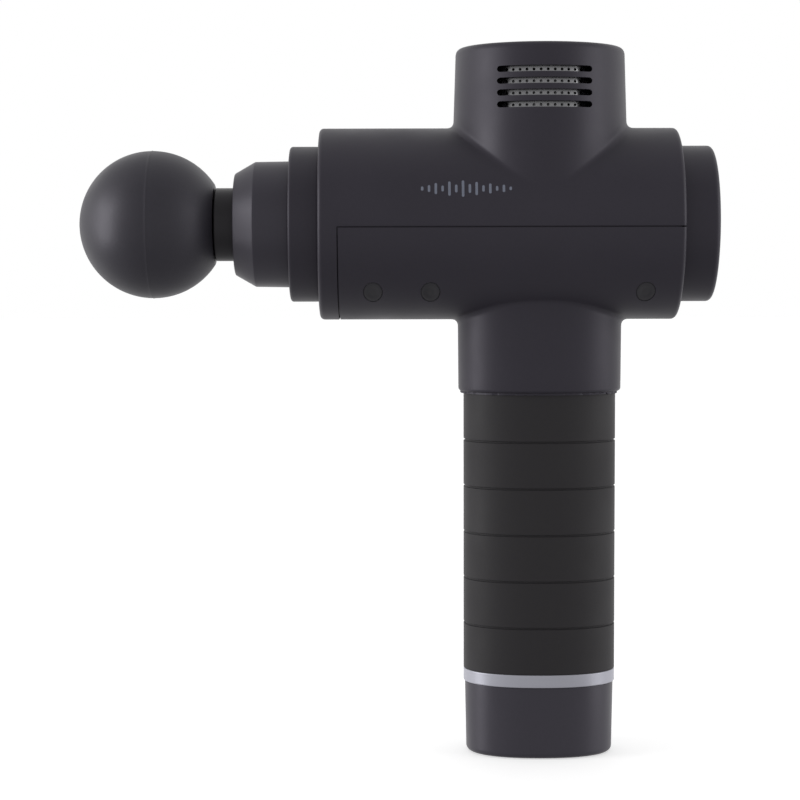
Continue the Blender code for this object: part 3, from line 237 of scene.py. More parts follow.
def block(low: Sequence[float], high: Sequence[float], edge: float, segments: int = 3) -> bmesh.types.BMesh:
    """Make a box between two corners, with its edges rounded."""
    bm = bmesh.new()
    bmesh.ops.create_cube(bm, size=1.0)
    size = [top - bottom for bottom, top in zip(low, high)]
    middle = [(top + bottom) / 2 for bottom, top in zip(low, high)]
    bmesh.ops.scale(bm, verts=bm.verts, vec=size)
    bmesh.ops.translate(bm, verts=bm.verts, vec=middle)
    bmesh.ops.bevel(bm, geom=bm.edges[:], offset=edge, affect="EDGES", segments=segments, profile=0.5,
                    material=-1)
    return bm


def to_object(name: str, bm: bmesh.types.BMesh) -> bpy.types.Object:
    """Turn a bmesh into a smooth-shaded object at the origin."""
    mesh = bpy.data.meshes.new(name)
    bm.to_mesh(mesh)
    bm.free()
    mesh.shade_smooth()
    mesh.set_sharp_from_angle(angle=SHARP_ANGLE)
    obj = bpy.data.objects.new(name, mesh)
    bpy.context.scene.collection.objects.link(obj)
    return obj


def baked(obj: bpy.types.Object) -> bpy.types.Object:
    """Replace an object's mesh by what its modifiers make of it."""
    bpy.context.view_layer.update()
    graph = bpy.context.evaluated_depsgraph_get()
    mesh = bpy.data.meshes.new_from_object(obj.evaluated_get(graph))
    obj.modifiers.clear()
    obj.data = mesh
    mesh.shade_smooth()
    mesh.set_sharp_from_angle(angle=SHARP_ANGLE)
    return obj


def carved(obj: bpy.types.Object, tools: Sequence[bpy.types.Object], operation: str) -> bpy.types.Object:
    """Apply an exact Boolean with each tool in turn, and remove the tools."""
    for tool in tools:
        modifier = obj.modifiers.new("carve", "BOOLEAN")
        modifier.operation = operation
        modifier.solver = "EXACT"
        modifier.object = tool
        baked(obj)
        bpy.data.objects.remove(tool)
    return obj


# ---- Finishes ----
class Grain(Enum):
    """How a surface is textured, as the stretch of its grain along X, Y and Z."""

    MOULDED = (1.0, 1.0, 1.0)
    BRUSHED_ROUND_Z = (0.03, 0.03, 1.0)
    TURNED_ROUND_X = (1.0, 0.05, 0.05)


@dataclass(frozen=True)
class Finish:
    """One material: its colour, gloss and grain.

    grain is the grain's size and depth its relief, in metres. tone is how far
    the colour wanders over a few centimetres, and patchy how far the roughness does.
    gleam is the tint of what the surface mirrors.
    """

    name: str
    colour: Colour
    roughness: float
    grain: float = 0.0004
    depth: float = 0.000012
    tone: float = 0.06
    patchy: float = 0.04
    metallic: float = 0.0
    ior: float = 1.46
    kind: Grain = Grain.MOULDED
    sheen: float = 0.0
    emission: float = 0.0
    gleam: Colour = (1.0, 1.0, 1.0)

    def material(self) -> bpy.types.Material:
        """Return the finish's material, made on first use."""
        found = bpy.data.materials.get(self.name)
        if found:
            return found
        made = bpy.data.materials.new(self.name)
        made.use_nodes = True
        made.diffuse_color = (*self.colour, 1.0)
        tree = made.node_tree
        shader = tree.nodes["Principled BSDF"]
        shader.inputs["Metallic"].default_value = self.metallic
        shader.inputs["IOR"].default_value = self.ior
        shader.inputs["Specular Tint"].default_value = (*self.gleam, 1.0)
        if self.sheen:
            shader.inputs["Sheen Weight"].default_value = self.sheen
            shader.inputs["Sheen Roughness"].default_value = 0.4
        if self.emission:
            shader.inputs["Emission Color"].default_value = (1.0, 1.0, 1.0, 1.0)
            shader.inputs["Emission Strength"].default_value = self.emission
        place = tree.nodes.new("ShaderNodeTexCoord").outputs["Object"]
        self._tint(tree, shader, place)
        self._relief(tree, shader, place)
        return made

    def _noise(self, tree: bpy.types.NodeTree, place: bpy.types.NodeSocket, size: float,
               detail: float) -> bpy.types.NodeSocket:
        """Add a noise whose cells are about size across."""
        noise = tree.nodes.new("ShaderNodeTexNoise")
        noise.inputs["Scale"].default_value = 1.0 / size
        noise.inputs["Detail"].default_value = detail
        tree.links.new(place, noise.inputs["Vector"])
        return noise.outputs["Fac"]

    def _range(self, tree: bpy.types.NodeTree, value: bpy.types.NodeSocket, low: float,
               high: float) -> bpy.types.NodeSocket:
        """Spread a noise's middle over a range."""
        spread = tree.nodes.new("ShaderNodeMapRange")
        spread.inputs["From Min"].default_value = 0.3
        spread.inputs["From Max"].default_value = 0.7
        spread.inputs["To Min"].default_value = low
        spread.inputs["To Max"].default_value = high
        tree.links.new(value, spread.inputs["Value"])
        return spread.outputs["Result"]

    def _tint(self, tree: bpy.types.NodeTree, shader: bpy.types.Node, place: bpy.types.NodeSocket) -> None:
        """Let the colour and the roughness wander a little."""
        wide = self._noise(tree, place, 0.018, 3.0)
        fine = self._noise(tree, place, self.grain * 2.5, 2.0)
        mix = tree.nodes.new("ShaderNodeMix")
        mix.data_type = "RGBA"
        dark = tuple(channel * (1.0 - self.tone) for channel in self.colour)
        light = tuple(min(1.0, channel * (1.0 + self.tone)) for channel in self.colour)
        mix.inputs["A"].default_value = (*dark, 1.0)
        mix.inputs["B"].default_value = (*light, 1.0)
        blend = tree.nodes.new("ShaderNodeMath")
        blend.operation = "MULTIPLY_ADD"
        blend.inputs[1].default_value = 0.5
        tree.links.new(self._range(tree, fine, 0.0, 1.0), blend.inputs[0])
        half = tree.nodes.new("ShaderNodeMath")
        half.operation = "MULTIPLY"
        half.inputs[1].default_value = 0.5
        tree.links.new(self._range(tree, wide, 0.0, 1.0), half.inputs[0])
        tree.links.new(half.outputs[0], blend.inputs[2])
        tree.links.new(blend.outputs[0], mix.inputs["Factor"])
        tree.links.new(mix.outputs["Result"], shader.inputs["Base Color"])
        rough = self._range(tree, wide, self.roughness - self.patchy, self.roughness + self.patchy)
        tree.links.new(rough, shader.inputs["Roughness"])

    def _relief(self, tree: bpy.types.NodeTree, shader: bpy.types.Node, place: bpy.types.NodeSocket) -> None:
        """Add the grain's relief."""
        mapping = tree.nodes.new("ShaderNodeMapping")
        mapping.inputs["Scale"].default_value = self.kind.value
        tree.links.new(place, mapping.inputs["Vector"])
        grain = self._noise(tree, mapping.outputs["Vector"], self.grain, 3.0)
        bump = tree.nodes.new("ShaderNodeBump")
        bump.inputs["Strength"].default_value = 1.0
        bump.inputs["Distance"].default_value = self.depth
        tree.links.new(grain, bump.inputs["Height"])
        tree.links.new(bump.outputs["Normal"], shader.inputs["Normal"])


VIOLET_GLEAM = (0.93, 0.90, 1.0)
SHELL = Finish("charcoal_shell", (0.0270, 0.0240, 0.0330), 0.46, gleam=VIOLET_GLEAM)
SATIN = Finish("charcoal_satin", (0.0330, 0.0300, 0.0400), 0.42, ior=1.54, gleam=VIOLET_GLEAM)
TRIM = Finish("charcoal_trim", (0.0250, 0.0235, 0.0290), 0.42)
GRIP = Finish("soft_grip", (0.0160, 0.0140, 0.0165), 0.62, grain=0.0006, depth=0.00002, sheen=0.08)
SILVER = Finish("satin_silver", (0.46, 0.46, 0.52), 0.42, grain=0.00012, depth=0.000004, tone=0.04,
                metallic=0.4, kind=Grain.BRUSHED_ROUND_Z)
SCREEN = Finish("screen_silver", (0.34, 0.34, 0.35), 0.24, grain=0.0003, depth=0.000004, tone=0.04,
                metallic=1.0)
BALL = Finish("ball_skin", (0.0215, 0.0200, 0.0265), 0.47, grain=0.0007, depth=0.00003, tone=0.08,
              patchy=0.05,
              ior=1.56, gleam=VIOLET_GLEAM)
ANODISED = Finish("black_anodised", (0.034, 0.032, 0.036), 0.40, grain=0.0002, depth=0.000005, tone=0.05,
                  metallic=0.6, kind=Grain.TURNED_ROUND_X)
SEAL = Finish("seal_rubber", (0.010, 0.010, 0.011), 0.60, grain=0.0005, depth=0.00001)
DIFFUSER = Finish("light_diffuser", (0.62, 0.63, 0.66), 0.40, grain=0.0006, depth=0.000006, tone=0.03,
                  emission=0.08)
MARK = Finish("printed_mark", (0.175, 0.190, 0.245), 0.46, grain=0.0003, depth=0.000004, tone=0.04)
STEEL = Finish("machined_steel", (0.50, 0.50, 0.52), 0.32, metallic=1.0, grain=0.0002, depth=0.000004)
ALLOY = Finish("cast_alloy", (0.52, 0.53, 0.55), 0.42, metallic=1.0, grain=0.0009, depth=0.00003)
BOARD = Finish("solder_mask", (0.012, 0.085, 0.030), 0.35, grain=0.002, depth=0.00003, tone=0.15)
COPPER = Finish("enamelled_copper", (0.60, 0.24, 0.10), 0.35, metallic=1.0, grain=0.0005, depth=0.00005)
WRAP = Finish("cell_wrap", (0.020, 0.105, 0.260), 0.38, grain=0.003, depth=0.00002)
NYLON = Finish("bearing_nylon", (0.62, 0.60, 0.54), 0.45, grain=0.0005, depth=0.00001)


@dataclass(frozen=True)
class Piece:
    """How a finished piece joins the frame."""

    name: str
    finish: Finish
    body: str
    slot: str
    nodes: tuple[str, ...] = ()

    def add(self, obj: bpy.types.Object) -> bpy.types.Object:
        """Dress an object and let it ride on its body."""
        obj.name = f"{self.name}_visual"
        obj.data.materials.clear()
        obj.data.materials.append(self.finish.material())
        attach(obj, self.body)
        if self.nodes:
            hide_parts(*self.nodes)
        log.info("%s: %d faces on %s", self.name, len(obj.data.polygons), self.body)
        return obj

    def make(self, bm: bmesh.types.BMesh) -> bpy.types.Object:
        """Make the piece from a bmesh."""
        return self.add(to_object(self.name, bm))


# ---- The frame's sizes ----
@dataclass(frozen=True)
class Layout:
    """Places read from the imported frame."""

    axis_z: float
    body_radius: float
    body_front: float
    body_rear: float
    tower_top: float
    socket_end: float

    @classmethod
    def from_frame(cls) -> Layout:
        """Read the layout from the nodes' boxes."""
        cap_low, cap_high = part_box("end_cap")
        shell_low, shell_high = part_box("upper_shell")
        axis_z = (cap_low.z + cap_high.z) / 2
        return cls(axis_z, shell_high.y, shell_low.x, shell_high.x, shell_high.z - axis_z,
                   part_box("lower_shell")[0].z)

    def along_x(self, outline: Sequence[Point2], steps: int = ROUND_STEPS,
                closed: bool = False) -> bmesh.types.BMesh:
        """Turn an outline of (x, radius) points round the body's axis."""
        return turned(outline, Vector((0, 0, self.axis_z)), Vector((1, 0, 0)), Vector((0, 0, 1)), steps,
                      closed)

    def along_z(self, outline: Sequence[Point2], steps: int = ROUND_STEPS,
                closed: bool = False) -> bmesh.types.BMesh:
        """Turn an outline of (z, radius) points round the tower's axis."""
        return turned(outline, Vector((0, 0, 0)), Vector((0, 0, 1)), Vector((1, 0, 0)), steps, closed)


# ---- Shells ----
@dataclass(frozen=True)
class Column:
    """A round or oval column that grows out of the body tube.

    up is 1 above the body and -1 below it. Heights are distances from the
    body's axis. draft is the column's growth in half width towards the axis.
    """

    body_radius: float
    up: int
    half_x: float
    half_y: float
    end: float
    draft: float
    power: float
    flare_side: float = 0.0012
    flare_end: float = 0.0014

    def flare(self, turn: float) -> float:
        """Give the flare's reach, larger where the column meets the body's crown."""
        return self.flare_side + self.flare_end * cos(turn) ** 2

    def point(self, turn: float, height: float, inset: float = 0.0) -> Vector:
        """Give a point of the column's skin."""
        grown = self.draft * (self.end - height) - inset
        x, y = oval_point(turn, self.half_x + grown, self.half_y + grown, self.power)
        return Vector((x, y, self.up * height))

    def meet(self, turn: float) -> float:
        """Give the height at which the column's skin enters the body tube."""
        height = self.body_radius
        for _ in range(12):
            height = sqrt(self.body_radius ** 2 - self.point(turn, height).y ** 2)
        return height

    def wrap(self, x: float, arc: float) -> Vector:
        """Put a point of the body's unrolled skin back on the tube."""
        angle = arc / self.body_radius
        return Vector((x, self.body_radius * sin(angle), self.up * self.body_radius * cos(angle)))

    def unrolled(self, turn: float) -> Vector:
        """Give the point where the column meets the body, on the unrolled skin."""
        height = self.meet(turn)
        place = self.point(turn, height)
        return Vector((place.x, self.body_radius * atan2(place.y, height)))

    def foot(self, turn: float) -> Vector:
        """Give the flare's outer edge on the unrolled skin."""
        here = self.unrolled(turn)
        along = self.unrolled(turn + 0.01) - self.unrolled(turn - 0.01)
        outward = Vector((along.y, -along.x)).normalized()
        return here + outward * self.flare(turn)

    def flare_ring(self, turns: Sequence[float], share: float) -> list[Vector]:
        """Give a ring of the flare, from the column at 0 to the body at 1."""
        ring = []
        for turn in turns:
            height = self.meet(turn)
            top = self.point(turn, height + self.flare(turn))
            corner = self.point(turn, height)
            foot = self.foot(turn)
            low = self.wrap(foot.x, foot.y)
            ring.append(top * (1 - share) ** 2 + corner * (2 * share * (1 - share)) + low * share ** 2)
        return ring


@dataclass(frozen=True)
class Window:
    """A rectangle of the body's unrolled skin, with a column in it."""

    front: float
    rear: float
    half_arc: float

    def turns(self, step: float) -> tuple[list[float], list[int]]:
        """Give the directions of the samples round the window.

        Args:
            step: the largest angle between two samples.

        Returns:
            The directions, and the index at which each side starts: the rear,
            the left, the front and the right side.
        """
        rear = atan2(self.half_arc, self.rear)
        front = atan2(self.half_arc, self.front)
        corners = (-rear, rear, front, 2 * pi - front, 2 * pi - rear)
        directions: list[float] = []
        starts: list[int] = []
        for low, high in zip(corners, corners[1:]):
            starts.append(len(directions))
            count = ceil((high - low) / step)
            directions += [low + (high - low) * index / count for index in range(count)]
        return directions, starts

    def edge(self, direction: float) -> Vector:
        """Give the point of the window's edge in one direction."""
        across, along = cos(direction), sin(direction)
        reaches = [self.half_arc / abs(along)] if abs(along) > 1e-9 else []
        if abs(across) > 1e-9:
            reaches.append((self.rear if across > 0 else self.front) / across)
        return Vector((across, along)) * min(reaches)


@dataclass
class BodyShells:
    """The upper and lower shells with the tower, the socket and what fits in them."""

    layout: Layout
    skin: float = 0.0008
    body_edge: float = 0.0016
    end_bore: float = 0.0260
    seam_setback: float = 0.0072
    seam_drop: float = 0.0015
    seam_gap: float = 0.0004
    seam_round: float = 0.00022
    tower_radius: float = 0.0308
    tower_draft: float = 0.032
    tower_bore: float = 0.0269
    tower_edge: float = 0.0023
    vent_count: int = 4
    vent_pitch: float = 0.00417
    vent_top: float = 0.0096
    vent_half_length: float = 0.0169
    vent_half_height: float = 0.0011
    screen_holes: int = 66
    screen_hole: float = 0.00052
    screen_corners: int = 16
    screen_wall: float = 0.0006
    socket_half_x: float = 0.0299
    socket_half_y: float = 0.0205
    socket_draft: float = 0.008
    socket_edge: float = 0.0012
    plug_gap: float = 0.00007
    mark_front: float = -0.0435
    mark_pitch: float = 0.0024
    mark_heights: tuple[float, ...] = (0.0016, 0.0026, 0.0042, 0.0022, 0.0054, 0.0030, 0.0062, 0.0034, 0.0050,
                                       0.0024, 0.0038, 0.0018, 0.0028, 0.0014)
    mark_half_width: float = 0.00045
    sample_step: float = radians(1.6)
    column_rings: int = 10
    flare_rings: int = 8
    body_rings: int = 26

    def window(self, upper: bool) -> Window:
        """Give the part of the body's skin that one shell covers."""
        radius = self.layout.body_radius
        if upper:
            drop = asin((self.seam_drop - self.seam_gap / 2) / radius)
            return Window(self.layout.body_front + self.seam_setback - self.seam_gap / 2,
                          self.layout.body_rear - self.body_edge - HOLD, radius * (pi / 2 + drop))
        drop = asin((self.seam_drop + self.seam_gap / 2) / radius)
        return Window(self.layout.body_front + self.seam_setback + self.seam_gap / 2,
                      self.layout.body_rear - self.body_edge - HOLD, radius * (pi / 2 - drop))

    def tower(self) -> Column:
        """Describe the motor tower's skin."""
        return Column(self.layout.body_radius, 1, self.tower_radius, self.tower_radius,
                      self.layout.tower_top, self.tower_draft, 1.0)

    def socket(self) -> Column:
        """Describe the handle socket's skin."""
        end = self.layout.axis_z - self.layout.socket_end
        return Column(self.layout.body_radius, -1, self.socket_half_x, self.socket_half_y,
                      end, self.socket_draft, OVAL_POWER)

    def end_profile(self, front: bool) -> list[Point2]:
        """Give the rounded end of the body as (x, radius) points, from the skin to the bore."""
        radius = self.layout.body_radius
        end = self.layout.body_front if front else self.layout.body_rear
        inward = 1 if front else -1
        corners = [(end + inward * (self.body_edge + HOLD), radius, 0.0), (end, radius, self.body_edge),
                   (end, self.end_bore, 0.0)]
        return rounded(corners)[2:]

    def skin_mesh(self, column: Column, window: Window,
                  end_rings: Sequence[tuple[float, float]]) -> bmesh.types.BMesh:
        """Loft a shell's skin from the column's end to the window's edge.

        Args:
            column: the tower or the socket.
            window: the part of the body's skin that the shell covers.
            end_rings: the column's end as (inset, height) points, inside first.

        Returns:
            An open mesh, in place relative to the body's axis.
        """
        directions, starts = window.turns(self.sample_step)
        turns = [atan2(sin(way) / column.half_y, cos(way) / column.half_x) for way in directions]
        bm = bmesh.new()
        chain = first_ring(bm, [column.point(turn, end_rings[0][1], end_rings[0][0]) for turn in turns])
        for inset, height in end_rings[1:]:
            chain = grow(bm, chain, [column.point(turn, height, inset) for turn in turns], ring=True)
        last = end_rings[-1][1]
        roots = [column.meet(turn) + column.flare(turn) for turn in turns]
        for index in range(1, self.column_rings):
            share = index / self.column_rings
            ring = [column.point(turn, last + (root - last) * share) for turn, root in zip(turns, roots)]
            chain = grow(bm, chain, ring, ring=True)
        for index in range(self.flare_rings + 1):
            chain = grow(bm, chain, column.flare_ring(turns, index / self.flare_rings), ring=True)
        feet = [column.foot(turn) for turn in turns]
        edges = [window.edge(way) for way in directions]
        for index in range(1, self.body_rings + 1):
            share = index / self.body_rings
            flat = [foot + (edge - foot) * share for foot, edge in zip(feet, edges)]
            chain = grow(bm, chain, [column.wrap(place.x, place.y) for place in flat], ring=True)
        count = len(chain)
        rear_side = [chain[index % count] for index in range(starts[0], starts[1] + 1)]
        self.extend(bm, rear_side, self.end_profile(front=False))
        if column.up > 0:
            front_side = [chain[index % count] for index in range(starts[2], starts[3] + 1)]
            self.front_band(bm, front_side, window)
        return bm

    def extend(self, bm: bmesh.types.BMesh, chain: list[bmesh.types.BMVert],
               profile: Sequence[Point2]) -> None:
        """Carry a side of the window round the body's end."""
        angles = [atan2(vert.co.y, vert.co.z) for vert in chain]
        for x, radius in profile:
            ring = [Vector((x, radius * sin(angle), radius * cos(angle))) for angle in angles]
            chain = grow(bm, chain, ring, ring=False)

    def front_band(self, bm: bmesh.types.BMesh, upper: list[bmesh.types.BMVert], window: Window) -> None:
        """Add the full ring in front of the lower shell."""
        radius = self.layout.body_radius
        reach = self.layout.body_front + self.body_edge + HOLD - window.front
        straight = [(window.front + reach * share, radius) for share in (0.5, 1.0)]
        profile = straight + self.end_profile(front=True)
        start = window.half_arc / radius
        count = ceil((2 * pi - 2 * start) / radians(2.2))
        lower = []
        for index in range(count + 1):
            angle = start + (2 * pi - 2 * start) * index / count
            lower.append(bm.verts.new((window.front, radius * sin(angle), radius * cos(angle))))
        for pair in zip(lower, lower[1:]):
            bm.edges.new(pair)
        self.extend(bm, upper, profile)
        self.extend(bm, lower, profile)
        bmesh.ops.remove_doubles(bm, verts=bm.verts, dist=MERGE)

    def shell_object(self, name: str, bm: bmesh.types.BMesh) -> bpy.types.Object:
        """Give a skin its wall and round its open edges."""
        bmesh.ops.recalc_face_normals(bm, faces=bm.faces)
        top = max(bm.faces, key=lambda face: abs(face.calc_center_median().z))
        outward = top.normal.z * top.calc_center_median().z
        if outward < 0:
            bmesh.ops.reverse_faces(bm, faces=bm.faces)
        bmesh.ops.translate(bm, verts=bm.verts, vec=(0, 0, self.layout.axis_z))
        obj = to_object(name, bm)
        wall = obj.modifiers.new("wall", "SOLIDIFY")
        wall.thickness = self.skin
        wall.offset = -1.0
        edge = obj.modifiers.new("edge", "BEVEL")
        edge.width = self.seam_round
        edge.segments = 2
        edge.limit_method = "ANGLE"
        edge.angle_limit = radians(60)
        return baked(obj)

    def tongue(self, name: str, half_arc: float) -> list[bmesh.types.BMesh]:
        """Make the lip behind the seam, so that nothing shows through it."""
        radius = self.layout.body_radius - self.skin
        inner, outer = radius - 0.0008, radius - 0.0001
        front, rear = self.layout.body_front + 0.004, self.layout.body_rear - 0.002
        pieces = []
        for side in (-1, 1):
            bm = bmesh.new()
            section = [(inner, front), (outer, front), (outer, rear), (inner, rear)]
            angle = side * (half_arc / self.layout.body_radius - 0.09)
            verts = [bm.verts.new((x, r * sin(angle), self.layout.axis_z + r * cos(angle)))
                     for r, x in section]
            face = bm.faces.new(verts)
            bmesh.ops.spin(bm, geom=[face], cent=(0, 0, self.layout.axis_z), axis=(-side, 0, 0),
                           dvec=(0, 0, 0),
                           angle=0.18, steps=8, use_duplicate=False)
            bmesh.ops.recalc_face_normals(bm, faces=bm.faces)
            pieces.append(bm)
        ring = [(front, inner), (front, outer), (front + 0.0060, outer), (front + 0.0060, inner)]
        pieces.append(self.layout.along_x([(x, r - 0.0009) for x, r in ring], closed=True))
        return pieces

    def slot_height(self, index: float) -> float:
        """Give the height of a vent slot's middle, counted down from the top one."""
        return self.layout.axis_z + self.layout.tower_top - self.vent_top - index * self.vent_pitch

    def vent_tools(self) -> list[bpy.types.Object]:
        """Make the cutters of the vent slots, with straight sides, in front and behind."""
        tools = []
        outline = stadium(self.vent_half_length, self.vent_half_height)
        for side in (-1, 1):
            for index in range(self.vent_count):
                height = self.slot_height(index)
                rings = [[Vector((across, side * reach, height + rise)) for across, rise in outline]
                         for reach in (self.vent_half_length, self.tower_radius + 0.004)]
                tools.append(to_object(f"vent_tool_{side}_{index}", loft(rings, capped=True)))
        return tools

    def upper_shell(self) -> None:
        """Build the upper shell with its tower, liner and vents."""
        column = self.tower()
        top = self.layout.tower_top
        corners = [(column.half_x - self.tower_bore, top, 0.0), (0.0, top, self.tower_edge),
                   (0.0, top - 0.008, 0.0)]
        rings = rounded(corners, steps=9)
        rings = [(inset + column.draft * (column.end - height) * (inset > 0), height)
                 for inset, height in rings]
        bm = self.skin_mesh(column, self.window(upper=True),
                            rings + [(0.0, top - 0.016), (0.0, top - 0.0235)])
        shell = self.shell_object("upper_shell", bm)
        low, high = self.layout.axis_z + top - 0.0290, self.layout.axis_z + top - self.skin / 2
        outer = self.tower_radius - self.skin / 2
        liner = rounded([(low, self.tower_bore, 0.0), (low, outer, 0.0), (high - 0.0024, outer, 0.0),
                         (high, outer - 0.0024, 0.0), (high, self.tower_bore, 0.0)], closed=True)
        carved(shell, [to_object("liner", self.layout.along_z(liner, closed=True))], "UNION")
        carved(shell, self.vent_tools(), "DIFFERENCE")
        for tongue in self.tongue("tongue", self.window(upper=True).half_arc):
            join_mesh(shell, tongue)
        Piece("upper_shell", SHELL, "body", "shell_plastic", ("upper_shell",)).add(shell)

    def lower_shell(self) -> None:
        """Build the lower shell with the handle socket and its openings."""
        column = self.socket()
        grip_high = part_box("grip_sleeve")[1]
        case_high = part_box("battery_case")[1]
        mouth = column.half_x - grip_high.x - 0.0003
        well = column.half_x - case_high.x - 0.0006
        end = column.end
        depth = grip_high.z - self.layout.socket_end + 0.0004
        corners = [(well, end - 0.030, 0.0), (well, end - depth, 0.0004), (mouth, end - depth, 0.0002),
                   (mouth, end, 0.0002), (0.0, end, self.socket_edge), (0.0, end - 0.006, 0.0)]
        rings = rounded(corners)
        bm = self.skin_mesh(column, self.window(upper=False), rings + [(0.0, end - 0.012)])
        shell = self.shell_object("lower_shell", bm)
        carved(shell, self.plug_holes() + self.release_holes(), "DIFFERENCE")
        Piece("lower_shell", SHELL, "body", "shell_plastic", ("lower_shell",)).add(shell)

    def plug_centres(self) -> Iterable[tuple[str, Vector, int]]:
        """List each plug's node, its centre and its side."""
        for index in range(1, 7):
            low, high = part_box(f"screw_plug_{index}")
            centre = (low + high) / 2
            yield f"screw_plug_{index}", centre, int(copysign(1, centre.y))

    def plug_holes(self) -> list[bpy.types.Object]:
        """Make the cutters of the screw holes."""
        tools = []
        for name, centre, side in self.plug_centres():
            low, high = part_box(name)
            radius = (high.x - low.x) / 2 + self.plug_gap
            outline = [(-0.008, 0.0), (-0.008, radius), (0.012, radius), (0.012, 0.0)]
            bm = turned(outline, centre, Vector((0, side, 0)), Vector((1, 0, 0)), SMALL_STEPS)
            tools.append(to_object(f"hole_{name}", bm))
        return tools

    def screw_plugs(self) -> None:
        """Build the plugs, whose faces follow the body's skin."""
        for name, centre, side in self.plug_centres():
            low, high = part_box(name)
            radius = (high.x - low.x) / 2
            corners = [(-0.002, 0.0, 0.0), (-0.002, radius, 0.0), (0.0, radius, 0.00022),
                       (0.0, radius * 0.62, 0.0),
                       (-0.0002, radius * 0.5, 0.0), (-0.0002, 0.0, 0.0)]
            outline = rounded(corners, steps=4)
            outline = outline[:-1] + [(-0.0002, radius * 0.25)] + outline[-1:]
            bm = turned(outline, Vector((centre.x, 0, centre.z)), Vector((0, side, 0)), Vector((1, 0, 0)),
                        SMALL_STEPS)
            skin = self.layout.body_radius - 0.00012
            for vert in bm.verts:
                rise = vert.co.z - self.layout.axis_z
                vert.co.y += side * sqrt(skin ** 2 - rise ** 2)
            Piece(name, TRIM, "body", "trim_plastic", (name,)).make(bm)

    def release_holes(self) -> list[bpy.types.Object]:
        """Make the cutters of the release button's hole, and of the room behind it for its flange."""
        low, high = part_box("release_button")
        centre = (low + high) / 2
        tools = []
        for name, grown, near, far in (("release_tool", -0.0007, low.y - 0.002, high.y + 0.005),
                                       ("release_room", 0.0004, low.y - 0.004, low.y + 0.0005)):
            outline = stadium((high.x - low.x) / 2 + grown, (high.z - low.z) / 2 + grown, 12, 4)
            rings = [[Vector((x, y, centre.z + z)) for x, z in outline] for y in (near, far)]
            tools.append(to_object(name, loft(rings, capped=True)))
        return tools

    def tower_cap(self) -> None:
        """Build the cap in the tower's top, with a shallow dish."""
        low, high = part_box("tower_cap")
        radius = high.x + 0.0001
        corners = [(low.z, 0.0, 0.0), (low.z, radius, 0.0), (high.z, radius, 0.0004),
                   (high.z, radius - 0.004, 0.0),
                   (high.z - 0.0006, radius - 0.0052, 0.0), (high.z - 0.0006, 0.0, 0.0)]
        outline = rounded(corners)
        outline = outline[:-1] + [(high.z - 0.0006, radius * share) for share in (0.6, 0.3)] + outline[-1:]
        Piece("tower_cap", SHELL, "body", "shell_plastic", ("tower_cap",)).make(self.layout.along_z(outline))

    def mark(self) -> None:
        """Print a row of pulse bars above the seam, on both sides."""
        column = Column(self.layout.body_radius, 1, 0.0, 0.0, 0.0, 0.0, 1.0)
        for side, name in ((-1, "pulse_mark_left"), (1, "pulse_mark_right")):
            combined = bmesh.new()
            for index, height in enumerate(self.mark_heights):
                self.bar(combined, column, self.mark_front + index * self.mark_pitch, side, height)
            Piece(name, MARK, "body", "trim_plastic").make(combined)

    def bar(self, bm: bmesh.types.BMesh, column: Column, x: float, side: int, height: float) -> None:
        """Add one bar of the mark, a thin pad with round ends that follows the body."""
        middle = side * radians(70) * self.layout.body_radius
        lift = Vector((0, 0, self.layout.axis_z))
        layers = ((1.0, -0.0003), (1.0, 0.00003), (0.90, 0.00005), (0.45, 0.00005), (0.05, 0.00005))
        chain: list[bmesh.types.BMVert] = []
        start: list[bmesh.types.BMVert] = []
        for share, rise in layers:
            half_width = self.mark_half_width * share
            outline = stadium(height / 2 - self.mark_half_width + half_width, half_width, 6, 6)
            ring = []
            for arc, across in outline:
                place = column.wrap(x + across, middle + arc)
                radial = Vector((0, place.y, place.z)).normalized()
                ring.append(place + radial * rise + lift)
            if chain:
                chain = grow(bm, chain, ring, ring=True)
            else:
                chain = start = first_ring(bm, ring)
        bm.faces.new(chain)
        bm.faces.new(start)
        bmesh.ops.recalc_face_normals(bm, faces=bm.faces)

    def vent_screen(self) -> None:
        """Build the perforated sleeve behind the slots, one row of holes for each slot."""
        low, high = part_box("vent_screen")
        radius = high.x
        step = 2 * pi / self.screen_holes
        half_arc, half_rise = step / 2, self.vent_pitch / 2
        bm = bmesh.new()
        for index in range(self.vent_count):
            height = self.slot_height(index)
            inner, outer = [], []
            for corner in range(self.screen_corners):
                angle = 2 * pi * corner / self.screen_corners
                inner.append(Vector((self.screen_hole * cos(angle) / radius, self.screen_hole * sin(angle))))
                reach = 1 / max(abs(cos(angle)), abs(sin(angle)))
                outer.append(Vector((half_arc * reach * cos(angle), half_rise * reach * sin(angle))))
            chain = first_ring(bm, [self.on_screen(place, radius, height) for place in inner])
            grow(bm, chain, [self.on_screen(place, radius, height) for place in outer], ring=True)
        edges = [(self.slot_height(0) + half_rise, high.z),
                 (self.slot_height(self.vent_count - 0.5), low.z)]
        slope = tan(2 * pi / self.screen_corners)
        for near, far in edges:
            corners = [self.on_screen(Vector((share * half_arc, 0)), radius, height)
                       for height in (near, far) for share in (-1, -slope, 0, slope, 1)]
            verts = [bm.verts.new(corner) for corner in corners]
            for index in range(4):
                bm.faces.new((verts[index], verts[index + 1], verts[index + 6], verts[index + 5]))
        bmesh.ops.remove_doubles(bm, verts=bm.verts, dist=MERGE * 5)
        bmesh.ops.spin(bm, geom=bm.verts[:] + bm.edges[:] + bm.faces[:], cent=(0, 0, 0), axis=(0, 0, 1),
                       dvec=(0, 0, 0), angle=2 * pi, steps=self.screen_holes,
                       use_merge=False, use_duplicate=True)
        bmesh.ops.remove_doubles(bm, verts=bm.verts, dist=MERGE * 5)
        bmesh.ops.recalc_face_normals(bm, faces=bm.faces)
        screen = to_object("vent_screen", bm)
